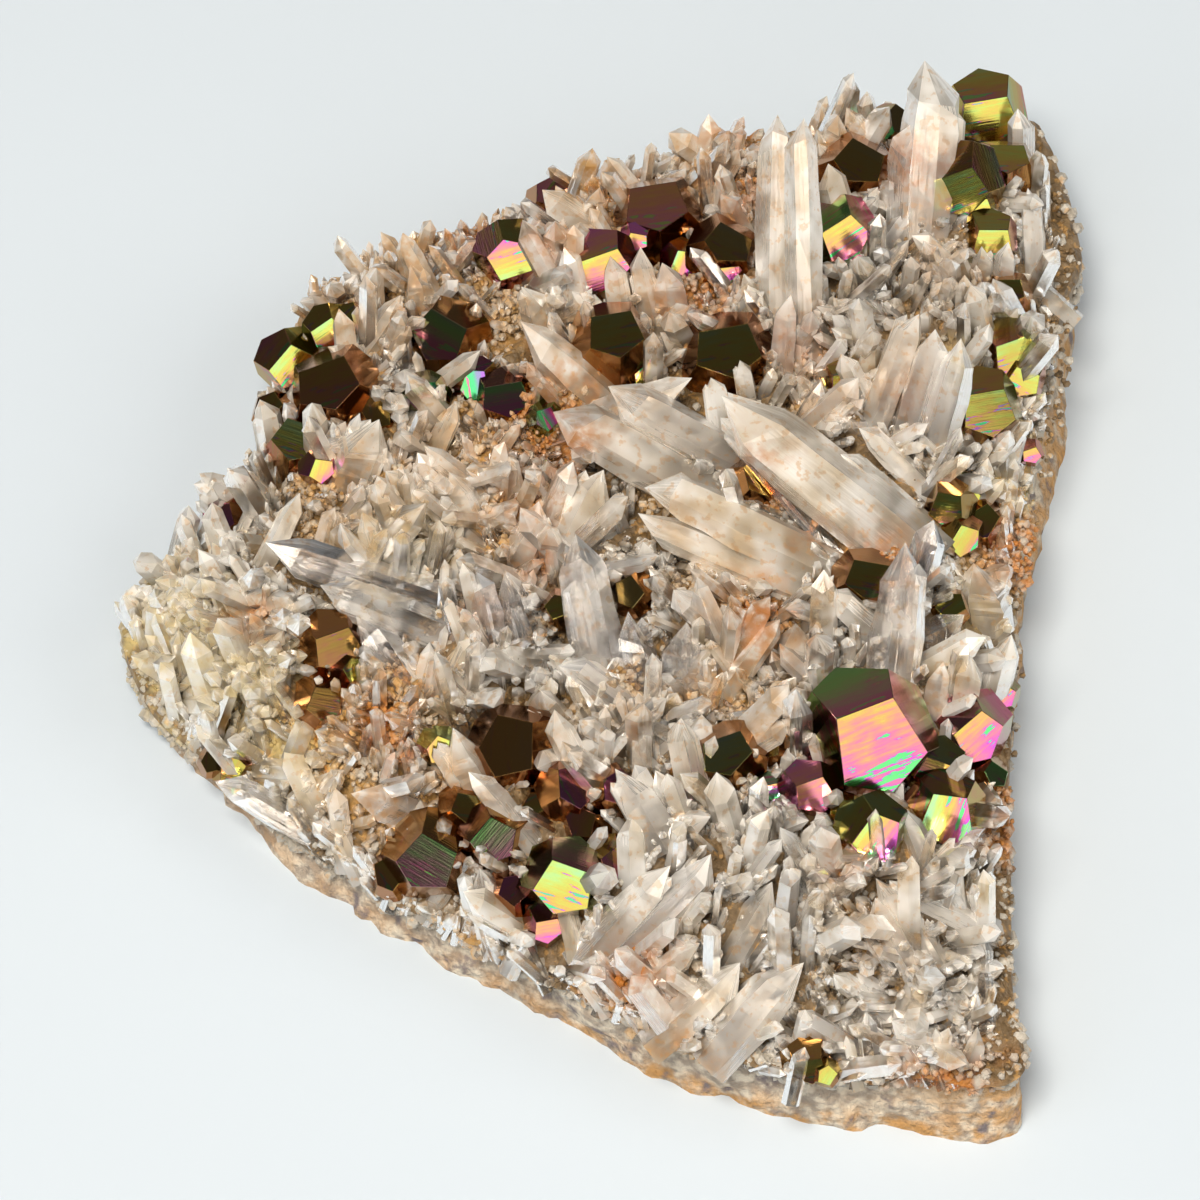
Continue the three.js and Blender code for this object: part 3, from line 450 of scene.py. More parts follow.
def rim_top(rows):
    """Which way is outward at rows of the rim, and where the top of the wall is there."""
    outward = unit(rows[:, :2] - MIDDLE)
    return outward, rows[:, :2] - np.maximum(0, rows[:, 2:3]) * outward


SWELL_PLACES = [
    (seen(across, up, VIEW_HEIGHT)[:2], radius, rise) for across, up, radius, rise in SWELLS
]


def crust_top(places):
    x, y = places[:, 0], places[:, 1]
    distance, lip = rim_nearest(places)
    inside = smooth(distance / CRUST_SHOULDER)
    front = np.maximum(0, FRONT_SLOPE_FROM - y) * FRONT_SLOPE
    thickness = lip + inside * (CRUST_THICKNESS - lip + CRUST_LUMPS * lumps(1.7 * x, 1.7 * y))
    thickness -= front
    for middle, radius, rise in SWELL_PLACES:
        thickness += rise * smooth(1 - np.linalg.norm(places - middle, axis=1) / radius)
    return rock_top(places) + np.maximum(thickness, LEAST_CRUST * lip)


SETTLING_ROUNDS = 4  # that bring a seen point down onto the crust


def on_crust(across, up, rise):
    """The points seen there which stand rise above the crust."""
    points = seen(across, up, VIEW_HEIGHT).reshape(-1, 3)
    for _ in range(SETTLING_ROUNDS):
        points = seen(across, up, crust_top(points[:, :2]) + rise).reshape(-1, 3)
    return points


def inside_rim(places, margin):
    """Which places are inside the rim by at least that margin."""
    start = SEAT_RIM[:, :2]
    end = np.roll(start, -1, axis=0)
    y = places[:, 1:2]
    crosses = (start[:, 1] > y) != (end[:, 1] > y)
    with np.errstate(divide="ignore", invalid="ignore"):
        share = (y - start[:, 1]) / (end[:, 1] - start[:, 1])
    at = start[:, 0] + share * (end[:, 0] - start[:, 0])
    within = (crosses & (places[:, 0:1] < at)).sum(axis=1) % 2 == 1
    return within & (rim_nearest(places)[0] > margin)


def signed_gap(places):
    """How far inside the rim each place is, below zero outside it."""
    gap = rim_nearest(places)[0]
    return np.where(inside_rim(places, 0), gap, -gap)


STAIN_KINDS = list(STAINS)


def stain_at(points):
    """Strength of the three kinds of stain at each point, as three columns."""
    places = view_of(points)
    ragged = 1 + 0.5 * noise(points, 2.6, 3) + 0.3 * noise(points, 0.9, 4)
    found = np.zeros((len(points), len(STAINS)))
    for column, rows in enumerate(STAINS.values()):
        for across, up, radius, strength in rows:
            reach = strength * smooth(1.25 - gaps(places, across, up) / (radius * ragged))
            found[:, column] = np.maximum(found[:, column], reach)
    return found


# Meshes

def piece(name, points, faces, material, slot, nodes, attributes=()):
    """Makes a piece that rides on the specimen, from points in the frame of the view."""
    mesh = bpy.data.meshes.new(name)
    mesh.from_pydata(((points - ORIGIN) * MM).tolist(), [], faces)
    for title, kind, domain, values in attributes:
        layer = mesh.attributes.new(title, kind, domain)
        field = {"FLOAT": "value", "FLOAT_VECTOR": "vector"}[kind]
        layer.data.foreach_set(field, np.asarray(values, np.float32).ravel())
    mesh.polygons.foreach_set("use_smooth", [False] * len(mesh.polygons))
    mesh.materials.append(material)
    mesh.validate()
    mesh.update()
    made = bpy.data.objects.new(name, mesh)
    bpy.context.scene.collection.objects.link(made)
    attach(made, "root")
    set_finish(made, slot)
    if nodes:
        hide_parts(*nodes)


def strip_faces(rings, around):
    """Faces of a stack of rings, each of that many points, with a fan at both ends."""
    faces = []
    first, last = rings * around, rings * around + 1
    for i in range(around):
        after = (i + 1) % around
        faces.append((first, after, i))
        for r in range(rings - 1):
            low = r * around
            faces.append((low + i, low + after, low + around + after, low + around + i))
        top = (rings - 1) * around
        faces.append((top + i, top + after, last))
    return faces


# Materials

def add(tree, kind, settings=None, **links):
    """Adds a node with its settings, and links or sets its inputs by name."""
    node = tree.nodes.new(kind)
    for key, value in (settings or {}).items():
        setattr(node, key, value)
    for key, value in links.items():
        where = int(key[1:]) if key[0] == "i" and key[1:].isdigit() else key.replace("_", " ")
        socket = node.inputs[where]
        if isinstance(value, bpy.types.NodeSocket):
            tree.links.new(value, socket)
        else:
            socket.default_value = value
    return node


def shell(name):
    """A new material with its shader and a millimetre coordinate."""
    material = bpy.data.materials.new(name)
    material.use_nodes = True
    tree = material.node_tree
    shader = tree.nodes["Principled BSDF"]
    place = add(tree, "ShaderNodeTexCoord").outputs["Object"]
    mm = add(tree, "ShaderNodeVectorMath", {"operation": "SCALE"}, Vector=place, Scale=1 / MM)
    return material, tree, shader, mm.outputs["Vector"]


def blended(tree, share, low, high):
    """The colour between two colours or colour outputs."""
    return add(tree, "ShaderNodeMix", {"data_type": "RGBA"}, i0=share, i6=low, i7=high).outputs[2]


def sums(tree, operation, *values):
    """The outcome of one operation on numbers or outputs."""
    links = {f"i{k}": value for k, value in enumerate(values)}
    return add(tree, "ShaderNodeMath", {"operation": operation}, **links).outputs[0]


def grain(tree, mm, size, detail=2.0, stretch=None):
    """Noise from 0 to 1 with lumps of that size in millimetres."""
    if stretch is not None:
        stretched = add(tree, "ShaderNodeVectorMath", {"operation": "MULTIPLY"}, i0=mm, i1=stretch)
        mm = stretched.outputs[0]
    return add(tree, "ShaderNodeTexNoise", Vector=mm, Scale=1 / size, Detail=detail).outputs["Fac"]


def band(tree, value, low, high):
    """How far the value has come from low to high, from 0 to 1."""
    node = add(
        tree, "ShaderNodeMapRange", {"interpolation_type": "SMOOTHSTEP"},
        Value=value, From_Min=low, From_Max=high,
    )
    return node.outputs[0]


def bumped(tree, shader, height, distance):
    """Bumps that are as deep as that distance in millimetres."""
    node = add(tree, "ShaderNodeBump", Height=height, Distance=distance * MM, Strength=1.0)
    tree.links.new(node.outputs[0], shader.inputs["Normal"])


# Colour of each kind of stain, the palest first, and of the flecks between them.
STAIN_COLOURS = {"straw": "#ECD58E", "tan": "#E0AC60", "rust": "#D08536"}
FLECKS = "#DDAA62"


def stained(tree, mm, colour, most):
    """The colour under its stains, as thick as the stain there is strong."""
    strength = add(tree, "ShaderNodeAttribute", {"attribute_name": "stain"}).outputs["Vector"]
    parts = add(tree, "ShaderNodeSeparateXYZ", Vector=strength).outputs
    patchy = grain(tree, mm, 1.3, 3.0)
    flecks = sums(tree, "MULTIPLY", band(tree, grain(tree, mm, 0.9, 3.0), 0.56, 0.66), 0.5)
    colour = blended(tree, flecks, colour, linear(FLECKS))
    for kind, stain in STAIN_COLOURS.items():
        strong = parts[STAIN_KINDS.index(kind)]
        share = sums(tree, "MULTIPLY", strong, band(tree, patchy, 0.28, 0.62))
        share = sums(tree, "MULTIPLY", share, most)
        colour = blended(tree, share, colour, linear(stain))
    return colour


QUARTZ_IOR = 1.544
CLOUD = "#FFFDF9"
# Colour of the root: partly grey quartz, partly painted shade where the crystal meets the crust.
ROOT_GREY_AND_SHADE = "#62594F"


def quartz_finish(name, clear_root, clear_tip, young, old, roughness, most_stain, root_grey_and_shade):
    """Quartz crystal, grown glossy and fluted: clear at the root, and milky where it is cloudy.

    The least tinted crystals have the young colour, and the most tinted ones the old one. Towards
    the root each is darkened, partly grey quartz and partly painted shade where it meets the crust.
    """
    material, tree, shader, mm = shell(name)
    along = add(tree, "ShaderNodeAttribute", {"attribute_name": "along"}).outputs["Fac"]
    tint = add(tree, "ShaderNodeAttribute", {"attribute_name": "tint"}).outputs["Fac"]
    on_prism = add(tree, "ShaderNodeAttribute", {"attribute_name": "on_prism"}).outputs["Vector"]
    flutes = grain(tree, on_prism, 0.45, 3.0, (1.0, 0.09, 1.0))
    body = blended(tree, tint, linear(young), linear(old))
    lumps_of_cloud = sums(tree, "MULTIPLY_ADD", tint, 0.3, grain(tree, mm, 4.5, 2.0))
    cloudy = band(tree, lumps_of_cloud, 0.52, 0.9)
    milky = band(tree, sums(tree, "ADD", along, sums(tree, "MULTIPLY", flutes, 0.5)), 0.9, 1.35)
    body = blended(tree, sums(tree, "MAXIMUM", cloudy, milky), body, linear(CLOUD))
    # Painted shade towards the root, where the crystal meets the crust, and partly the grey of
    # clear quartz there.
    root = band(tree, along, 0.6, 0.05)
    body = blended(tree, sums(tree, "MULTIPLY", root, root_grey_and_shade), body, linear(ROOT_GREY_AND_SHADE))
    tree.links.new(stained(tree, mm, body, most_stain), shader.inputs["Base Color"])
    cloud = sums(tree, "MULTIPLY", sums(tree, "MAXIMUM", cloudy, milky), clear_root - clear_tip)
    clearness = sums(tree, "SUBTRACT", clear_root, cloud)
    tree.links.new(clearness, shader.inputs["Transmission Weight"])
    shader.inputs["IOR"].default_value = QUARTZ_IOR
    shader.inputs["Roughness"].default_value = roughness
    bumped(tree, shader, flutes, 0.05)
    return material


def granular_finish(name, dark, light):
    """Fine quartz, grown as a granular crust: matt, with stained patches."""
    material, tree, shader, mm = shell(name)
    colour = blended(tree, grain(tree, mm, 1.6, 4.0), linear(dark), linear(light))
    tree.links.new(stained(tree, mm, colour, 1.0), shader.inputs["Base Color"])
    shader.inputs["Roughness"].default_value = 0.45
    bumped(tree, shader, grain(tree, mm, 0.6, 4.0), 0.4)
    return material


def rock_finish():
    """Altered wall rock, broken: matt and granular, cream to grey, stained ochre and rust."""
    material, tree, shader, mm = shell("broken_wall_rock")
    side, _, height = add(tree, "ShaderNodeSeparateXYZ", Vector=mm).outputs
    grey = band(tree, grain(tree, mm, 1.3, 5.0), 0.36, 0.62)
    colour = blended(tree, grey, linear("#F0E2CC"), linear("#B5A594"))
    forward = sums(tree, "MULTIPLY_ADD", band(tree, side, -20.0, 10.0), 0.5, 0.35)
    low = sums(tree, "MULTIPLY", band(tree, height, 3.4, 0.6), forward)
    right = sums(tree, "MULTIPLY", band(tree, side, 20.0, 38.0), 0.75)
    patches = band(tree, grain(tree, mm, 2.2, 6.0), 0.34, 0.6)
    ochre = sums(tree, "MULTIPLY", patches, sums(tree, "MAXIMUM", low, right))
    colour = blended(tree, ochre, colour, linear("#D69C50"))
    dark = band(tree, grain(tree, mm, 2.6, 6.0), 0.56, 0.7)
    colour = blended(tree, dark, colour, linear("#8A7F80"))
    tree.links.new(colour, shader.inputs["Base Color"])
    shader.inputs["Roughness"].default_value = 0.85
    bumped(tree, shader, grain(tree, mm, 0.7, 6.0), 0.9)
    return material


# Wavelengths of red, green and blue light in nanometres, and how deep the film's colour is.
WAVES = (650.0, 532.0, 450.0)
FILM_FLOOR = 0.14
FILM_SWING = 0.78
# The thickest films blend many orders of blue light into one level.
BLUE_FADES = (1000.0, 1300.0)
BLUE_LEVEL = 0.24
BLUE_LOST = 0.7
# By how many nanometres the film is thicker or thinner in streaks, in patches and past a step.
STREAKED = 150.0
PATCHED = 110.0
STEPPED = 330.0
STEP_TO_EDGE = 0.045  # how much likelier the step gets for each millimetre up the face


def film_colour(tree, thickness):
    """The colour of light that a clear film of that thickness gives back, over metal."""
    channels = []
    for wave in WAVES:
        sine = sums(tree, "SINE", sums(tree, "MULTIPLY", thickness, math.pi / wave))
        channels.append(sums(tree, "MULTIPLY", sine, sine))
    lost = sums(tree, "MULTIPLY", band(tree, thickness, *BLUE_FADES), BLUE_LOST)
    below = sums(tree, "SUBTRACT", BLUE_LEVEL, channels[2])
    channels[2] = sums(tree, "MULTIPLY_ADD", below, lost, channels[2])
    lit = [sums(tree, "MULTIPLY_ADD", channel, FILM_SWING, FILM_FLOOR) for channel in channels]
    return add(tree, "ShaderNodeCombineColor", i0=lit[0], i1=lit[1], i2=lit[2]).outputs[0]


# Brightness below which a face is all brown tarnish, and above which it is all film.
TARNISHED = 0.1
FRESH = 0.85
TARNISH = "#B07845"


def pyrite_finish():
    """Pyrite, grown mirror-bright and striated, under an iridescent film of iron oxide."""
    material, tree, shader, mm = shell("iridescent_pyrite")
    on_face = add(tree, "ShaderNodeAttribute", {"attribute_name": "on_face"}).outputs["Vector"]
    film = add(tree, "ShaderNodeAttribute", {"attribute_name": "film"}).outputs["Vector"]
    film_parts = add(tree, "ShaderNodeSeparateXYZ", Vector=film).outputs
    face_parts = add(tree, "ShaderNodeSeparateXYZ", Vector=on_face).outputs
    sloped = sums(tree, "MULTIPLY", face_parts[1], film_parts[1])
    streaks = grain(tree, on_face, 0.5, 3.0, (0.12, 1.0, 1.0))
    patches = grain(tree, mm, 2.4, 2.0)
    thickness = sums(tree, "ADD", film_parts[0], sloped)
    for uneven, amount in ((streaks, STREAKED), (patches, PATCHED)):
        around = sums(tree, "SUBTRACT", uneven, 0.5)
        thickness = sums(tree, "MULTIPLY_ADD", around, amount, thickness)
    outer = sums(tree, "MULTIPLY_ADD", face_parts[1], STEP_TO_EDGE, streaks)
    stepped = band(tree, sums(tree, "MULTIPLY_ADD", patches, 0.5, outer), 0.88, 0.94)
    thickness = sums(tree, "MULTIPLY_ADD", stepped, STEPPED, thickness)
    fresh = band(tree, film_parts[2], TARNISHED, FRESH)
    film = film_colour(tree, thickness)
    # The film's colour is darkened by the brightness, which is partly tarnish and partly painted
    # shade.
    shaded_film = add(
        tree, "ShaderNodeVectorMath", {"operation": "SCALE"}, Vector=film, Scale=film_parts[2],
    )
    colour = blended(tree, fresh, linear(TARNISH), shaded_film.outputs[0])
    tree.links.new(colour, shader.inputs["Base Color"])
    shader.inputs["Metallic"].default_value = 1.0
    shader.inputs["Roughness"].default_value = 0.13
    striae = grain(tree, on_face, 0.18, 2.0, (0.06, 1.0, 1.0))
    bumped(tree, shader, striae, 0.008)
    return material


# Pyrite

def facing(right, lift, turn):
    """Turns a crystal so that its (012) face looks that far right and up of the viewer."""
    to_viewer = np.array([0, -VIEW_COS, VIEW_SIN])
    view_up = np.array([0, VIEW_SIN, VIEW_COS])
    look = to_viewer + math.tan(math.radians(right)) * np.array([1.0, 0, 0])
    look = unit(look + math.tan(math.radians(lift)) * view_up)
    level = unit(np.cross(view_up, look))
    steep = np.cross(look, level)
    edge = math.cos(math.radians(turn)) * level + math.sin(math.radians(turn)) * steep
    world = np.column_stack([edge, np.cross(look, edge), look])
    normal = unit(np.array([0, 1.0, 2.0]))
    unique = np.array([1.0, 0, 0])
    crystal = np.column_stack([unique, np.cross(normal, unique), normal])
    return world @ crystal.T


def pyritohedron_planes():
    """Outward normal and striation direction of each of the twelve faces, the leading one first."""
    planes = []
    for shift in range(3):
        for a, b in ((1, 1), (-1, 1), (1, -1), (-1, -1)):
            normal = np.roll([0, a, 2 * b], shift) / math.sqrt(5)
            planes.append((normal, np.roll([1.0, 0, 0], shift)))
    return planes


def face_rings(normals, distances):
    """Corners, in order, of each face of the solid inside planes at those distances."""
    corners = []
    for trio in itertools.combinations(range(len(normals)), 3):
        matrix = normals[list(trio)]
        if abs(np.linalg.det(matrix)) < 1e-6:
            continue
        point = np.linalg.solve(matrix, distances[list(trio)])
        if (normals @ point <= distances + 1e-7).all():
            corners.append((point, trio))
    rings = []
    for index, normal in enumerate(normals):
        ring = [(point, trio) for point, trio in corners if index in trio]
        middle = np.mean([point for point, _ in ring], axis=0)
        level = unit(ring[0][0] - middle)
        steep = np.cross(normal, level)
        spokes = [point - middle for point, _ in ring]
        turns = [math.atan2(spoke @ steep, spoke @ level) for spoke in spokes]
        rings.append([ring[k] for k in np.argsort(turns)])
    return rings


SIDE_SHADE = 0.55  # painted shade on the other faces: their brightness over that of the leading one
STRIA_SEEDS = 97  # the striations differ between so many crystals
UNEVEN_GROWTH = 0.04  # spread of the distances of the faces
MOST_UNEVEN = 0.07
FILM_SPREAD = 45  # nanometres, from one face to the next
SLOPE_SPREAD = 30
BEVEL = 0.06  # millimetres
MOST_BEVEL = 0.035  # of the size of the face


def pyrite_crystal(row, seed):
    """Points, faces and face looks of one crystal, unevenly grown, its edges in a narrow bevel."""
    across, up, distance, rise, right, lift, turn, film, slope, sides, tone_and_shade = row[:11]
    chance = np.random.default_rng(seed)
    turned = facing(right, lift, turn)
    middle = on_crust(across, up, rise)[0]
    planes = pyritohedron_planes()
    uneven = np.clip(chance.normal(0, UNEVEN_GROWTH, len(planes)), -MOST_UNEVEN, MOST_UNEVEN)
    distances = distance * (1 + uneven)
    distances[0] = distance
    if len(row) > 11:
        distances[1] = distance + row[11]
    bevel = min(MOST_BEVEL, BEVEL / distance)
    points, faces, on_face, films, meets = [], [], [], [], {}
    for index, ring in enumerate(face_rings(np.array([n for n, _ in planes]), distances)):
        normal, stria = planes[index]
        across_face = np.cross(normal, stria)
        thick = film if index == 0 else sides + chance.normal(0, FILM_SPREAD)
        tilt = slope if index == 0 else chance.normal(0, SLOPE_SPREAD)
        centre = np.mean([place for place, _ in ring], axis=0)
        faces.append(tuple(range(len(points), len(points) + len(ring))))
        for place, trio in ring:
            meets.setdefault(trio, []).append(len(points))
            points.append(turned @ (centre + (place - centre) * (1 - bevel)) + middle)
            on_face.append((place @ stria, place @ across_face, seed % STRIA_SEEDS))
            # Brightness of each face: partly tarnish, partly painted shade, with the other faces
            # painted darker.
            films.append((thick, tilt, tone_and_shade if index == 0 else SIDE_SHADE * tone_and_shade))
    close_bevels(points, faces, on_face, films, meets, middle)
    return np.array(points), faces, on_face, films


def close_bevels(points, faces, on_face, films, meets, middle):
    """Closes the narrow bevels between the shrunk faces and at the corners."""
    trio_of = {index: trio for trio, found in meets.items() for index in found}
    edges = {}
    for face in faces:
        for k, a in enumerate(face):
            b = face[(k + 1) % len(face)]
            edges.setdefault(frozenset((trio_of[a], trio_of[b])), []).append((a, b))
    extra = [(pair[0][1], pair[0][0], pair[1][1], pair[1][0]) for pair in edges.values()]
    for found in meets.values():
        p, q, r = (points[i] for i in found)
        outward = np.dot(np.cross(q - p, r - p), p - middle) > 0
        extra.append(tuple(found) if outward else tuple(found[::-1]))
    for face in extra:
        faces.append(face)
        on_face += [on_face[i] for i in face]
        films += [films[face[0]]] * len(face)


def pyrite_piece(name, rows, material, nodes, seed):
    all_points, all_faces, on_face, films = [], [], [], []
    for k, row in enumerate(rows):
        points, faces, places, looks = pyrite_crystal(row, seed + k)
        start = sum(len(p) for p in all_points)
        all_points.append(points)
        all_faces += [tuple(start + i for i in face) for face in faces]
        on_face += places
        films += looks
    piece(
        name, np.vstack(all_points), all_faces, material, "pyrite", nodes,
        [("on_face", "FLOAT_VECTOR", "CORNER", on_face), ("film", "FLOAT_VECTOR", "CORNER", films)],
    )


# Quartz

HEXAGON = np.radians(np.arange(6) * 60 + 30)

# How a crystal's width goes from its root to its shoulder: share of the length, share of the width.
SLIM_RINGS = ((0.0, 1.0), (1.0, 1.0))
GROWN_RINGS = (
    (0.0, 0.9), (0.18, 0.97), (0.38, 1.0), (0.58, 1.02), (0.78, 0.99), (0.92, 0.95), (1.0, 0.9),
)
WORN = 0.035  # spread of the corners of the grown ones, as a share of the width


def prisms(roots, tips, widths, flatness, chance, rings=SLIM_RINGS, blunt=0.5, buried=1.5):
    """Six-sided quartz crystals: their points, how far along each is, and the faces of one."""
    count = len(roots)
    along = tips - roots
    length = np.linalg.norm(along, axis=1)
    axis = unit(along)
    level = unit(np.cross(np.array([0.0, 0, 1.0]), axis) + 1e-6)
    steep = np.cross(level, axis)
    spin = chance.uniform(-0.4, 0.4, (count, 1))
    angles = HEXAGON + spin + chance.normal(0, 0.12, (count, 6))
    radii = 0.5 * widths[:, None] * chance.uniform(0.82, 1.08, (count, 6))
    wide = np.cos(angles) * radii
    deep = np.sin(angles) * radii * flatness[:, None]
    point = np.minimum(blunt * widths, 0.45 * length)
    uneven = chance.uniform(-0.3, 0.3, (count, 6)) * point[:, None]
    shoulder = length[:, None] - point[:, None] + uneven
    taper = chance.uniform(0.86, 1.0, (count, 1))
    flat = wide[..., None] * level[:, None] + deep[..., None] * steep[:, None]
    stack, shares = [], []
    for reach, swell in rings:
        worn = 0.0 if rings == SLIM_RINGS else WORN
        scale = swell * (1 + (taper - 1) * reach) * (1 + chance.normal(0, worn, (count, 6)))
        height = reach * shoulder - (buried if reach == 0 else 0)
        stack.append(roots[:, None] + scale[..., None] * flat + height[..., None] * axis[:, None])
        shares.append(height / length[:, None])
    lean = chance.uniform(-0.16, 0.16, (count, 2)) * widths[:, None]
    stack.append((tips + lean[:, :1] * level + lean[:, 1:] * steep)[:, None])
    shares.append(np.ones((count, 1)))
    return np.concatenate(stack, axis=1), np.concatenate(shares, axis=1), prism_faces(len(rings))


def prism_faces(rings):
    faces = [tuple(range(5, -1, -1))]
    for r in range(rings - 1):
        low, high = 6 * r, 6 * r + 6
        faces += [(low + k, low + (k + 1) % 6, high + (k + 1) % 6, high + k) for k in range(6)]
    last = 6 * (rings - 1)
    return faces + [(last + k, last + (k + 1) % 6, last + 6) for k in range(6)]


def flute_places(points, template, number):
    """Where each face corner is on its crystal, in millimetres round and along it."""
    last = points.shape[1] - 1
    step = np.linalg.norm(points[:, 0] - points[:, 1], axis=1)
    heights = np.linalg.norm(points - points[:, 0:1], axis=2)
    columns = []
    for face in template:
        ring = [i % 6 for i in face]
        wraps = 5 in ring and 0 in ring and len(face) < 6
        turns = [6 if wraps and i % 6 == 0 else i % 6 for i in face if i != last]
        turns += [sum(turns) / len(turns)] * (last in face)
        for i, turn in zip(face, turns):
            columns.append(np.stack([turn * step, heights[:, i], number + 0 * step], axis=1))
    return np.stack(columns, axis=1).reshape(-1, 3)


APART = 7.3  # from the flutes of one crystal to those of the next, in the noise


def quartz_piece(name, batches, material):
    """Joins batches of crystals, each with its points, shares, faces and tints, into one piece."""
    points, faces, shares, tints, flutes = [], [], [], [], []
    start = 0
    for batch_points, batch_shares, template, batch_tints in batches:
        count, size = batch_points.shape[:2]
        numbers = APART * (start + np.arange(count))
        flutes.append(flute_places(batch_points, template, numbers))
        for k in range(count):
            faces += [tuple(start + k * size + i for i in face) for face in template]
        start += count * size
        points.append(batch_points.reshape(-1, 3))
        shares.append(batch_shares.ravel())
        tints.append(np.repeat(batch_tints, size))
    points = np.vstack(points)
    piece(
        name, points, faces, material, "quartz", (),
        [
            ("along", "FLOAT", "POINT", np.concatenate(shares)),
            ("tint", "FLOAT", "POINT", np.concatenate(tints)),
            ("on_prism", "FLOAT_VECTOR", "CORNER", np.vstack(flutes)),
            ("stain", "FLOAT_VECTOR", "POINT", stain_at(points)),
        ],
    )


ROOTED = 0.4  # depth of a crystal's root in the crust
MOST_RAISED = 3.0  # how much a tip may be raised to bring its crystal out of the crust


def placed(rows):
    """Root and tip of each crystal of a table, with its width and flatness."""
    table = np.array(rows, float)
    roots = on_crust(table[:, 0], table[:, 1], -ROOTED)
    height = roots[:, 2] + table[:, 4]
    middles = 0.5 * (roots + seen(table[:, 2], table[:, 3], height))
    sunk = crust_top(middles[:, :2]) + 0.2 - middles[:, 2]
    tips = seen(table[:, 2], table[:, 3], height + np.clip(2 * sunk, 0, MOST_RAISED))
    return roots, tips, table[:, 5], table[:, 6]


RIBS_PER_MM = 0.9
WIDEST_RIBBED = 8  # a wider crystal is a smooth blade, with two ribs only


def sub_parallel(root, tip, width, flatness, proud, chance):
    """The ribs that stand out of one large crystal: roots, tips, widths and flatness."""
    ribs = max(2, int(round(width * RIBS_PER_MM))) if width < WIDEST_RIBBED else 2
    axis = unit(tip - root)
    level = unit(np.cross(np.array([0.0, 0, 1.0]), axis))
    steep = np.cross(level, axis)
    length = np.linalg.norm(tip - root)
    roots, tips, widths, flats = [], [], [], []
    for _ in range(ribs):
        side = chance.uniform(-0.4, 0.4) * width
        arch = math.sqrt(0.25 - (side / width) ** 2) * width * flatness * chance.uniform(*proud)
        reach = length * chance.uniform(0.5, 0.96)
        base = root + side * level + arch * steep
        roots.append(base)
        tips.append(base + reach * axis + chance.normal(0, 0.008, 3) * reach)
        widths.append(width * chance.uniform(0.28, 0.5))
        flats.append(chance.uniform(0.7, 1.0))
    return np.array(roots), np.array(tips), np.array(widths), np.array(flats)


FULL_WIDTH = 1.2  # corner to corner over the width between faces
LYING = 3.2  # the tip of a lying crystal stands less than this over its root
LONG = 12.0  # a lying crystal shorter than this has no ribs
MOST_TINT = 0.75  # of a large crystal, where 1 is the old colour of its finish
# How far out of the crystal its ribs are centred, as a share of its depth.
RIBS_SUNK = (0.12, 0.45)
RIBS_PROUD = (0.5, 0.85)


def large_crystals(rows, chance):
    """Each crystal of a table, with its ribs."""
    batches = []
    for root, tip, width, flatness in zip(*placed(rows)):
        tint = chance.uniform(0, MOST_TINT)
        body = prisms(
            root[None], tip[None], np.array([FULL_WIDTH * width]), np.array([flatness]), chance,
            GROWN_RINGS, blunt=0.55,
        )
        batches.append((*body, np.array([tint])))
        lying = tip[2] - root[2] < LYING
        if lying and np.linalg.norm(tip - root) < LONG:
            continue
        proud = RIBS_PROUD if lying else RIBS_SUNK
        roots, tips, widths, flats = sub_parallel(root, tip, width, flatness, proud, chance)
        ribs = prisms(roots, tips, widths, flats, chance)
        batches.append((*ribs, np.full(len(roots), tint)))
    return batches


# How near the middle of a pyrite crystal the quartz comes, as a share of its size.
NEST = 0.78  # small crystals at a bright one
CRUMB_NEST = 0.9  # crumbs at a bright one
DEEP_NEST = 0.6  # both at a dark one
PYRITE_ROWS = [row for rows in PYRITES.values() for row in rows] + SMALL_PYRITES


def clear_of_pyrite(places, spare):
    """Which seen places lie outside every pyrite crystal, with that share for the bright ones."""
    clear = np.ones(len(places), bool)
    for row in PYRITE_ROWS:
        clear &= gaps(places, row[0], row[1]) > (spare if row[10] > FRESH else DEEP_NEST) * row[2]
    return clear


BROAD = 7.0  # a crystal wider than this is kept bare to its edges
BARE = 0.34  # of the width of the others, on each side of their middle line


def clear_of_crystals(places):
    """Which seen places lie off the shafts of the larger crystals."""
    clear = np.ones(len(places), bool)
    for across, up, tip_across, tip_up, _, width, _ in CRYSTALS + GREY_CRYSTALS:
        start = np.array([across, up], float)
        side = np.array([tip_across, tip_up]) - start
        share = np.clip((places - start) @ side / (side @ side), 0.2, 1)
        gap = np.linalg.norm(places - start - share[:, None] * side, axis=1)
        clear &= gap > (0.5 if width > BROAD else BARE) * width
    return clear


LEAST_PROUD = 0.3  # of a needle's length: less out of the crust than this and it is left out
BARE_HOLLOW = 0.75  # share of the needles missing in the middle of a hollow
OVERHANG = 1.8  # how far a needle's tip may reach out past the rim
# How far in from the rim needles stay where the wall is bare.
TIP_SET_BACK = 1.6
ROOT_SET_BACK = 2.6


def hollow_at(places):
    """How deep in a hollow of the crust each seen place is, from 0 to 1."""
    depth = np.zeros(len(places))
    for across, up, radius, rise in SWELLS:
        if rise < 0:
            depth = np.maximum(depth, smooth(1.3 - gaps(places, across, up) / radius))
    return depth


def scattered(count, margin, chance):
    """The places inside the rim by that margin, of so many over the whole of its box."""
    low, high = FINE_RIM[:, :2].min(axis=0), FINE_RIM[:, :2].max(axis=0)
    places = low + chance.uniform(size=(count, 2)) * (high - low)
    return places[inside_rim(places, margin)]


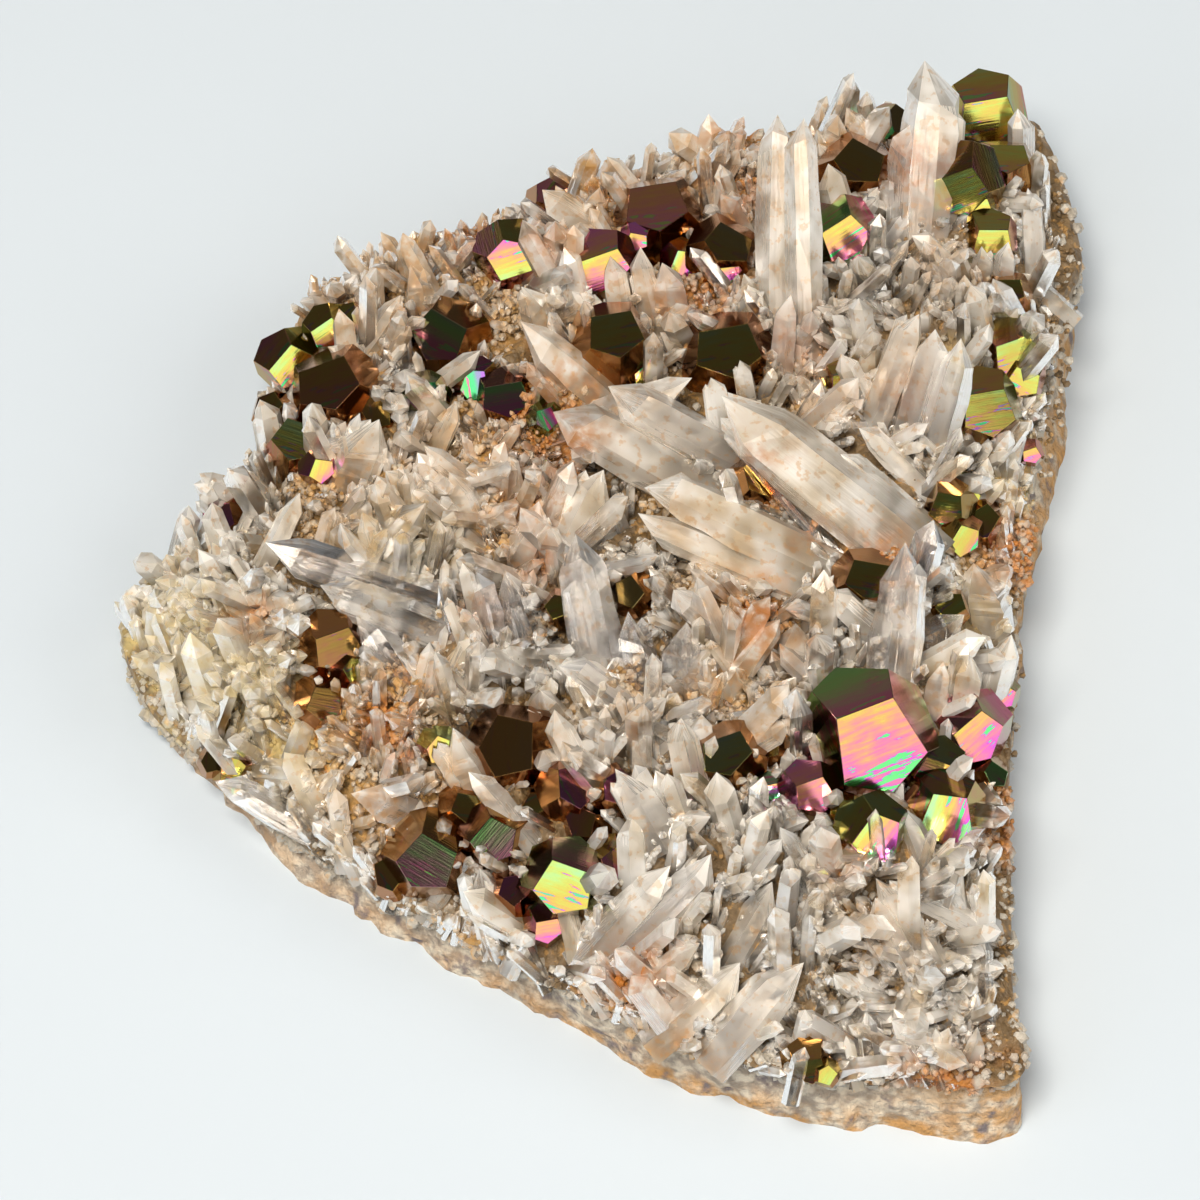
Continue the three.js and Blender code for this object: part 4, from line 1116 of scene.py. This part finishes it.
def fanned(places, lengths, chance):
    """Root, tip and length of a crystal at each place, which leans the way its fan does."""
    fan = np.column_stack([places, np.zeros(len(places))])
    heading = math.pi * 2 * (noise(fan, 6.0, 5) + 0.5 * noise(fan, 2.5, 6))
    heading += chance.normal(0, 0.5, len(places))
    lean = np.abs(0.8 + 0.7 * noise(fan, 5.0, 8) + chance.normal(0, 0.3, len(places)))
    run = np.column_stack([lean * np.cos(heading), lean * np.sin(heading), np.ones(len(places))])
    length = lengths[0] + (lengths[1] - lengths[0]) * chance.uniform(size=len(places)) ** 2
    roots = np.column_stack([places, crust_top(places) - ROOTED])
    return roots, roots + unit(run) * length[:, None], length


def fitting(places, roots, tips, length, chance):
    """Which crystals stand clear of the large ones, out of the crust and not far past the rim."""
    middles = 0.5 * (roots + tips)
    keep = clear_of_pyrite(view_of(tips), NEST) & clear_of_pyrite(view_of(middles), NEST)
    keep &= clear_of_crystals(view_of(tips)) & clear_of_crystals(view_of(middles))
    inset = signed_gap(tips[:, :2])
    keep &= -inset < chance.uniform(0, OVERHANG, len(inset))
    keep &= (inset < 0) | (tips[:, 2] - crust_top(tips[:, :2]) > LEAST_PROUD * length)
    keep &= chance.uniform(size=len(inset)) > BARE_HOLLOW * hollow_at(view_of(roots))
    set_back = (inset > TIP_SET_BACK) & (signed_gap(places) > ROOT_SET_BACK)
    return keep & ((places[:, 0] < BARE_WALL_FROM) | set_back)


def needle_batches(count, chance, lengths, slimness, stain):
    """Fans of crystals over the crust or one kind of stain: lengths, and width over length."""
    places = scattered(count * (2 if stain is None else 12), 0.1, chance)
    if stain is not None:
        found = stain_at(np.column_stack([places, crust_top(places)]))[:, STAIN_KINDS.index(stain)]
        places = places[found > chance.uniform(0.05, 0.8, len(places))]
    places = places[:count]
    roots, tips, length = fanned(places, lengths, chance)
    keep = fitting(places, roots, tips, length, chance)
    roots, tips, length = roots[keep], tips[keep], length[keep]
    widths = length * chance.uniform(*slimness, len(roots))
    flats = chance.uniform(0.7, 1.0, len(roots))
    points, shares, faces = prisms(roots, tips, widths, flats, chance, blunt=0.55, buried=0.8)
    return [(points, shares, faces, chance.uniform(size=len(roots)))]


# A crumb has its points over the corners and the face middles of a cube.
CUBE = np.array(list(itertools.product((-1, 0, 1), repeat=3)), float)
BALL = unit(CUBE[np.isin(np.abs(CUBE).sum(axis=1), (1, 3))])


def crumbs(name, count, sizes, stained_share, material, chance):
    """Crumbs of granular quartz and iron oxide, thickest where the stains are."""
    places = scattered(count * 8, 0.3, chance)
    points = np.column_stack([places, crust_top(places)])
    stain = stain_at(points)[:, :STAIN_KINDS.index("straw")].max(axis=1)
    keep = chance.uniform(size=len(points)) < stained_share * stain + (1 - stained_share) * 0.3
    keep &= clear_of_pyrite(view_of(points), CRUMB_NEST)
    points = points[keep][:count]
    points[:, 2] += chance.uniform(-0.3, 1.6, len(points)) * stain[keep][:count]
    crumb_piece(name, points, chance.uniform(*sizes, len(points)), material, chance)


def crumb_piece(name, points, sizes, material, chance):
    hull = crumb_faces()
    lumpy = chance.uniform(0.7, 1.2, (len(points), len(BALL), 1))
    shapes = points[:, None] + 0.5 * sizes[:, None, None] * lumpy * BALL
    shapes = shapes.reshape(-1, 3)
    faces = [tuple(len(BALL) * k + i for i in face) for k in range(len(points)) for face in hull]
    piece(
        name, shapes, faces, material, "quartz", (),
        [("stain", "FLOAT_VECTOR", "POINT", stain_at(shapes))],
    )


def crumb_faces():
    """Triangles of one crumb, seen from outside."""
    faces = []
    poles = [i for i, p in enumerate(BALL) if np.abs(p).max() > 0.99]
    for pole in poles:
        axis = BALL[pole]
        near = [i for i, p in enumerate(BALL) if i not in poles and p @ axis > 0]
        level = unit(np.roll(axis, 1))
        steep = np.cross(axis, level)
        order = sorted(near, key=lambda i: math.atan2(BALL[i] @ steep, BALL[i] @ level))
        faces += [(pole, order[k], order[(k + 1) % 4]) for k in range(4)]
    return faces


def lip_crumbs(name, count, material, chance):
    """Crumbs of granular quartz on the lip of the crust and the upper part of the wall."""
    outward, top = rim_top(FINE_RIM[chance.integers(0, FINE_CORNERS, count)])
    share = chance.uniform(-0.6, 1.0, (count, 1))
    low, high = rock_top(top), crust_top(top)
    spread = chance.uniform(-0.6, 0.5, (count, 1)) + 0.6 * np.maximum(0, -share)
    points = np.column_stack([top + spread * outward, low + share[:, 0] * (high - low)])
    points[:, :2] += chance.uniform(-0.5, 0.5, (count, 2))
    bare = (points[:, 0] > BARE_WALL_FROM) & (chance.uniform(size=count) > LIP_LEFT)
    points = points[~bare]
    sizes = 0.4 + 1.4 * chance.uniform(size=len(points)) ** 2
    crumb_piece(name, points, sizes, material, chance)


def crust(material):
    """The drusy crust, from the joint with the rock, over the lip and up to the middle."""
    outward, top = rim_top(FINE_RIM)
    seat = rock_top(top) + JOINT
    inner = MIDDLE + INNER_EDGE * (top - MIDDLE)
    rings = [np.column_stack([inner, rock_top(inner) + JOINT]), np.column_stack([top, seat])]
    lip_top = crust_top(top)
    for share in (0.25, 0.5, 0.75):
        bulge = 0.5 + 0.6 * math.sin(math.pi * share)
        rings.append(np.column_stack([top + bulge * outward, seat + share * (lip_top - seat)]))
    for share in np.linspace(1, 0.02, CRUST_RINGS):
        at = MIDDLE + share * (top - MIDDLE)
        rings.append(np.column_stack([at, crust_top(at)]))
    points = np.vstack(rings)
    rough = 0.5 * noise(points, 2.4, 11) + 0.35 * noise(points, 1.0, 12)
    rough += 0.2 * noise(points, 0.5, 13)
    points[2 * FINE_CORNERS:, 2] += rough[2 * FINE_CORNERS:]
    ends = np.array([[*MIDDLE, rock_top(MIDDLE) + JOINT], [*MIDDLE, crust_top(MIDDLE[None])[0]]])
    points = np.vstack([points, ends])
    faces = strip_faces(len(rings), FINE_CORNERS)
    piece(
        "drusy_crust", points, faces, material, "quartz", ("quartz",),
        [("stain", "FLOAT_VECTOR", "POINT", stain_at(points))],
    )


def rock(material):
    """The rock, flat below, with a broken granular wall."""
    outward, top = rim_top(FINE_RIM)
    foot = FINE_RIM[:, :2] + np.minimum(0, FINE_RIM[:, 2:3]) * outward
    rings = [np.column_stack([MIDDLE + 0.5 * (foot - MIDDLE), np.zeros(FINE_CORNERS)])]
    for share in np.linspace(0, 1, WALL_RINGS):
        at = foot + share * (top - foot)
        wall = np.column_stack([at, share * rock_top(at)])
        rough = 0.8 * noise(wall, 4.0, 21) + 0.4 * noise(wall, 1.4, 22) + 0.2 * noise(wall, 0.6, 23)
        wall[:, :2] += (rough - 0.4)[:, None] * outward
        rings.append(wall)
    inner = MIDDLE + INNER_EDGE * (top - MIDDLE)
    rings.append(np.column_stack([inner, rock_top(inner)]))
    ends = np.array([[*MIDDLE, 0.0], [*MIDDLE, rock_top(MIDDLE)]])
    points = np.vstack([*rings, ends])
    faces = strip_faces(len(rings), FINE_CORNERS)
    piece("wall_rock", points, faces, material, "rock", ("rock",))


# Light, floor, camera and the whole

def softbox(name, azimuth, elevation, distance, size, radiance, colour):
    """A square soft light that looks at the specimen. Azimuth is from in front, to the right."""
    turn, lift = math.radians(azimuth), math.radians(elevation)
    level = math.cos(lift)
    toward = Vector((math.sin(turn) * level, -math.cos(turn) * level, math.sin(lift)))
    light = bpy.data.lights.new(name, "AREA")
    light.shape = "SQUARE"
    light.size = size
    light.energy = radiance * math.pi * size * size
    light.color = linear(colour)[:3]
    box = bpy.data.objects.new(name, light)
    box.location = toward * distance
    box.rotation_euler = toward.to_track_quat("Z", "Y").to_euler()
    bpy.context.scene.collection.objects.link(box)
    return box


def light_only(box, pieces):
    """Lets the light fall only on those pieces: metal would show its frame as a hard edge."""
    lit = bpy.data.collections.new(f"{box.name}_lit")
    for made in pieces:
        lit.objects.link(made)
    box.light_linking.receiver_collection = lit


# Soft lights: name, azimuth, elevation, distance, size, radiance, colour. Distances and sizes are
# in metres.
LIGHTS = [
    ("key", 11, 29, 1.2, 0.66, 1.15, "#FFFFFF"),
    ("back_card", 180, 52, 1.3, 1.1, 0.18, "#FFFFFF"),
]
LIGHTS_OFF_METAL = [
    ("overhead", -25, 66, 1.4, 0.52, 20.6, "#FFF4E4"),
    ("left_fill", -60, 40, 1.4, 0.9, 1.1, "#F4F8FF"),
    ("right_fill", 75, 38, 1.4, 0.9, 2.2, "#FFF8EE"),
]
AIR = "#EEF2F4"
AIR_STRENGTH = 0.085


def studio(matt_pieces):
    for row in LIGHTS:
        softbox(*row)
    for row in LIGHTS_OFF_METAL:
        light_only(softbox(*row), matt_pieces)
    world = bpy.data.worlds.new("studio")
    world.use_nodes = True
    background = world.node_tree.nodes["Background"]
    background.inputs["Color"].default_value = linear(AIR)
    background.inputs["Strength"].default_value = AIR_STRENGTH
    bpy.context.scene.world = world


HALF_FLOOR = 3.0  # metres


def floor():
    """A wide sheet of matt pale card."""
    mesh = bpy.data.meshes.new("floor")
    corners = [(HALF_FLOOR * x, HALF_FLOOR * y, 0) for x, y in ((-1, -1), (1, -1), (1, 1), (-1, 1))]
    mesh.from_pydata(corners, [], [(0, 1, 2, 3)])
    material, _, shader, _ = shell("pale_card")
    shader.inputs["Base Color"].default_value = linear("#DAE6F2")
    shader.inputs["Roughness"].default_value = 0.9
    shader.inputs["Specular IOR Level"].default_value = 0.1
    mesh.materials.append(material)
    ground = bpy.data.objects.new("floor", mesh)
    bpy.context.scene.collection.objects.link(ground)


SENSOR_WIDTH = 36.0


def camera():
    data = bpy.data.cameras.new("view")
    data.sensor_width = SENSOR_WIDTH
    data.lens = VIEW_DISTANCE * data.sensor_width / VIEW_WIDTH
    data.clip_start = 0.01
    eye = bpy.data.objects.new("view", data)
    eye.location = (EYE - ORIGIN) * MM
    aim = Vector((np.array([0, 0, VIEW_HEIGHT]) - ORIGIN) * MM) - eye.location
    eye.rotation_euler = aim.to_track_quat("-Z", "Y").to_euler()
    bpy.context.scene.collection.objects.link(eye)
    bpy.context.scene.camera = eye


# The small quartz crystals: piece, how many are tried, shortest and longest, least and most width
# over length, finish, and the stain that they keep to.
SMALL_QUARTZ = [
    ("quartz_clear_crystals", 1500, (4.5, 10.5), (0.2, 0.36), "clear", None),
    ("quartz_milky_crystals", 1400, (4, 9.5), (0.24, 0.42), "milky", None),
    ("quartz_needles", 4400, (2.5, 5.6), (0.22, 0.38), "clear", None),
    ("quartz_short_crystals", 9000, (1.4, 3.6), (0.28, 0.55), "clear", None),
    ("quartz_straw_crystals", 2200, (3, 6.6), (0.28, 0.46), "milky", "straw"),
]


# Seeds of the pyrites: of the first piece, from piece to piece, and of the small crystals.
PYRITE_SEED = 100
SEEDS_APART = 10
SMALL_PYRITE_SEED = 900


def render_settings():
    scene = bpy.context.scene
    scene.view_settings.view_transform = "Standard"
    scene.cycles.max_bounces = 6
    scene.cycles.diffuse_bounces = 2
    scene.cycles.glossy_bounces = 3
    scene.cycles.transmission_bounces = 5
    scene.cycles.adaptive_threshold = 0.03


def main():
    render_settings()
    finishes = {
        "clear": quartz_finish(
            "clear_quartz", clear_root=0.94, clear_tip=0.42, young="#FAF8F4", old="#EBCB8E",
            roughness=0.17, most_stain=0.95, root_grey_and_shade=0.85,
        ),
        "milky": quartz_finish(
            "milky_quartz", clear_root=0.76, clear_tip=0.28, young="#FCFAF8", old="#F2DDB4",
            roughness=0.3, most_stain=0.8, root_grey_and_shade=0.45,
        ),
        "grey": quartz_finish(
            "grey_quartz", clear_root=0.96, clear_tip=0.62, young="#F0F0F3", old="#E6E0D8",
            roughness=0.16, most_stain=0.6, root_grey_and_shade=0.4,
        ),
    }
    pyrite = pyrite_finish()
    rock(rock_finish())
    # The crust and the fine crumbs run to near black at the dark end of their grain: painted shade
    # in the gaps between the crystals, over the crust's own brown grain.
    drusy_and_shade = granular_finish("drusy_quartz_crust_and_shade", "#211912", "#AD9068")
    sugary = granular_finish("sugary_quartz", "#6E665B", "#FBF3E4")
    crust(drusy_and_shade)
    crumbs("quartz_crumbs", 7600, (0.4, 1.15), 0.75, sugary, draws)
    crumbs("quartz_fine_crumbs", 7800, (0.3, 0.8), 0.35, drusy_and_shade, draws)
    lip_crumbs("lip_crumbs", 6400, sugary, draws)
    for name, rows, finish in (
        ("quartz_large_crystals", CRYSTALS, "milky"),
        ("quartz_grey_crystals", GREY_CRYSTALS, "grey"),
        ("quartz_lesser_crystals", LESSER_CRYSTALS, "clear"),
    ):
        quartz_piece(name, large_crystals(rows, draws), finishes[finish])
    for name, count, lengths, slimness, finish, stain in SMALL_QUARTZ:
        batches = needle_batches(count, draws, lengths, slimness, stain)
        quartz_piece(name, batches, finishes[finish])
    for k, (name, rows) in enumerate(PYRITES.items()):
        pyrite_piece(f"{name}_crystals", rows, pyrite, (name,), PYRITE_SEED + SEEDS_APART * k)
    pyrite_piece("pyrite_small_crystals", SMALL_PYRITES, pyrite, (), SMALL_PYRITE_SEED)
    floor()
    meshes = [made for made in bpy.data.objects if made.type == "MESH"]
    studio([made for made in meshes if made.get("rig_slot") != "pyrite"])
    camera()


main()
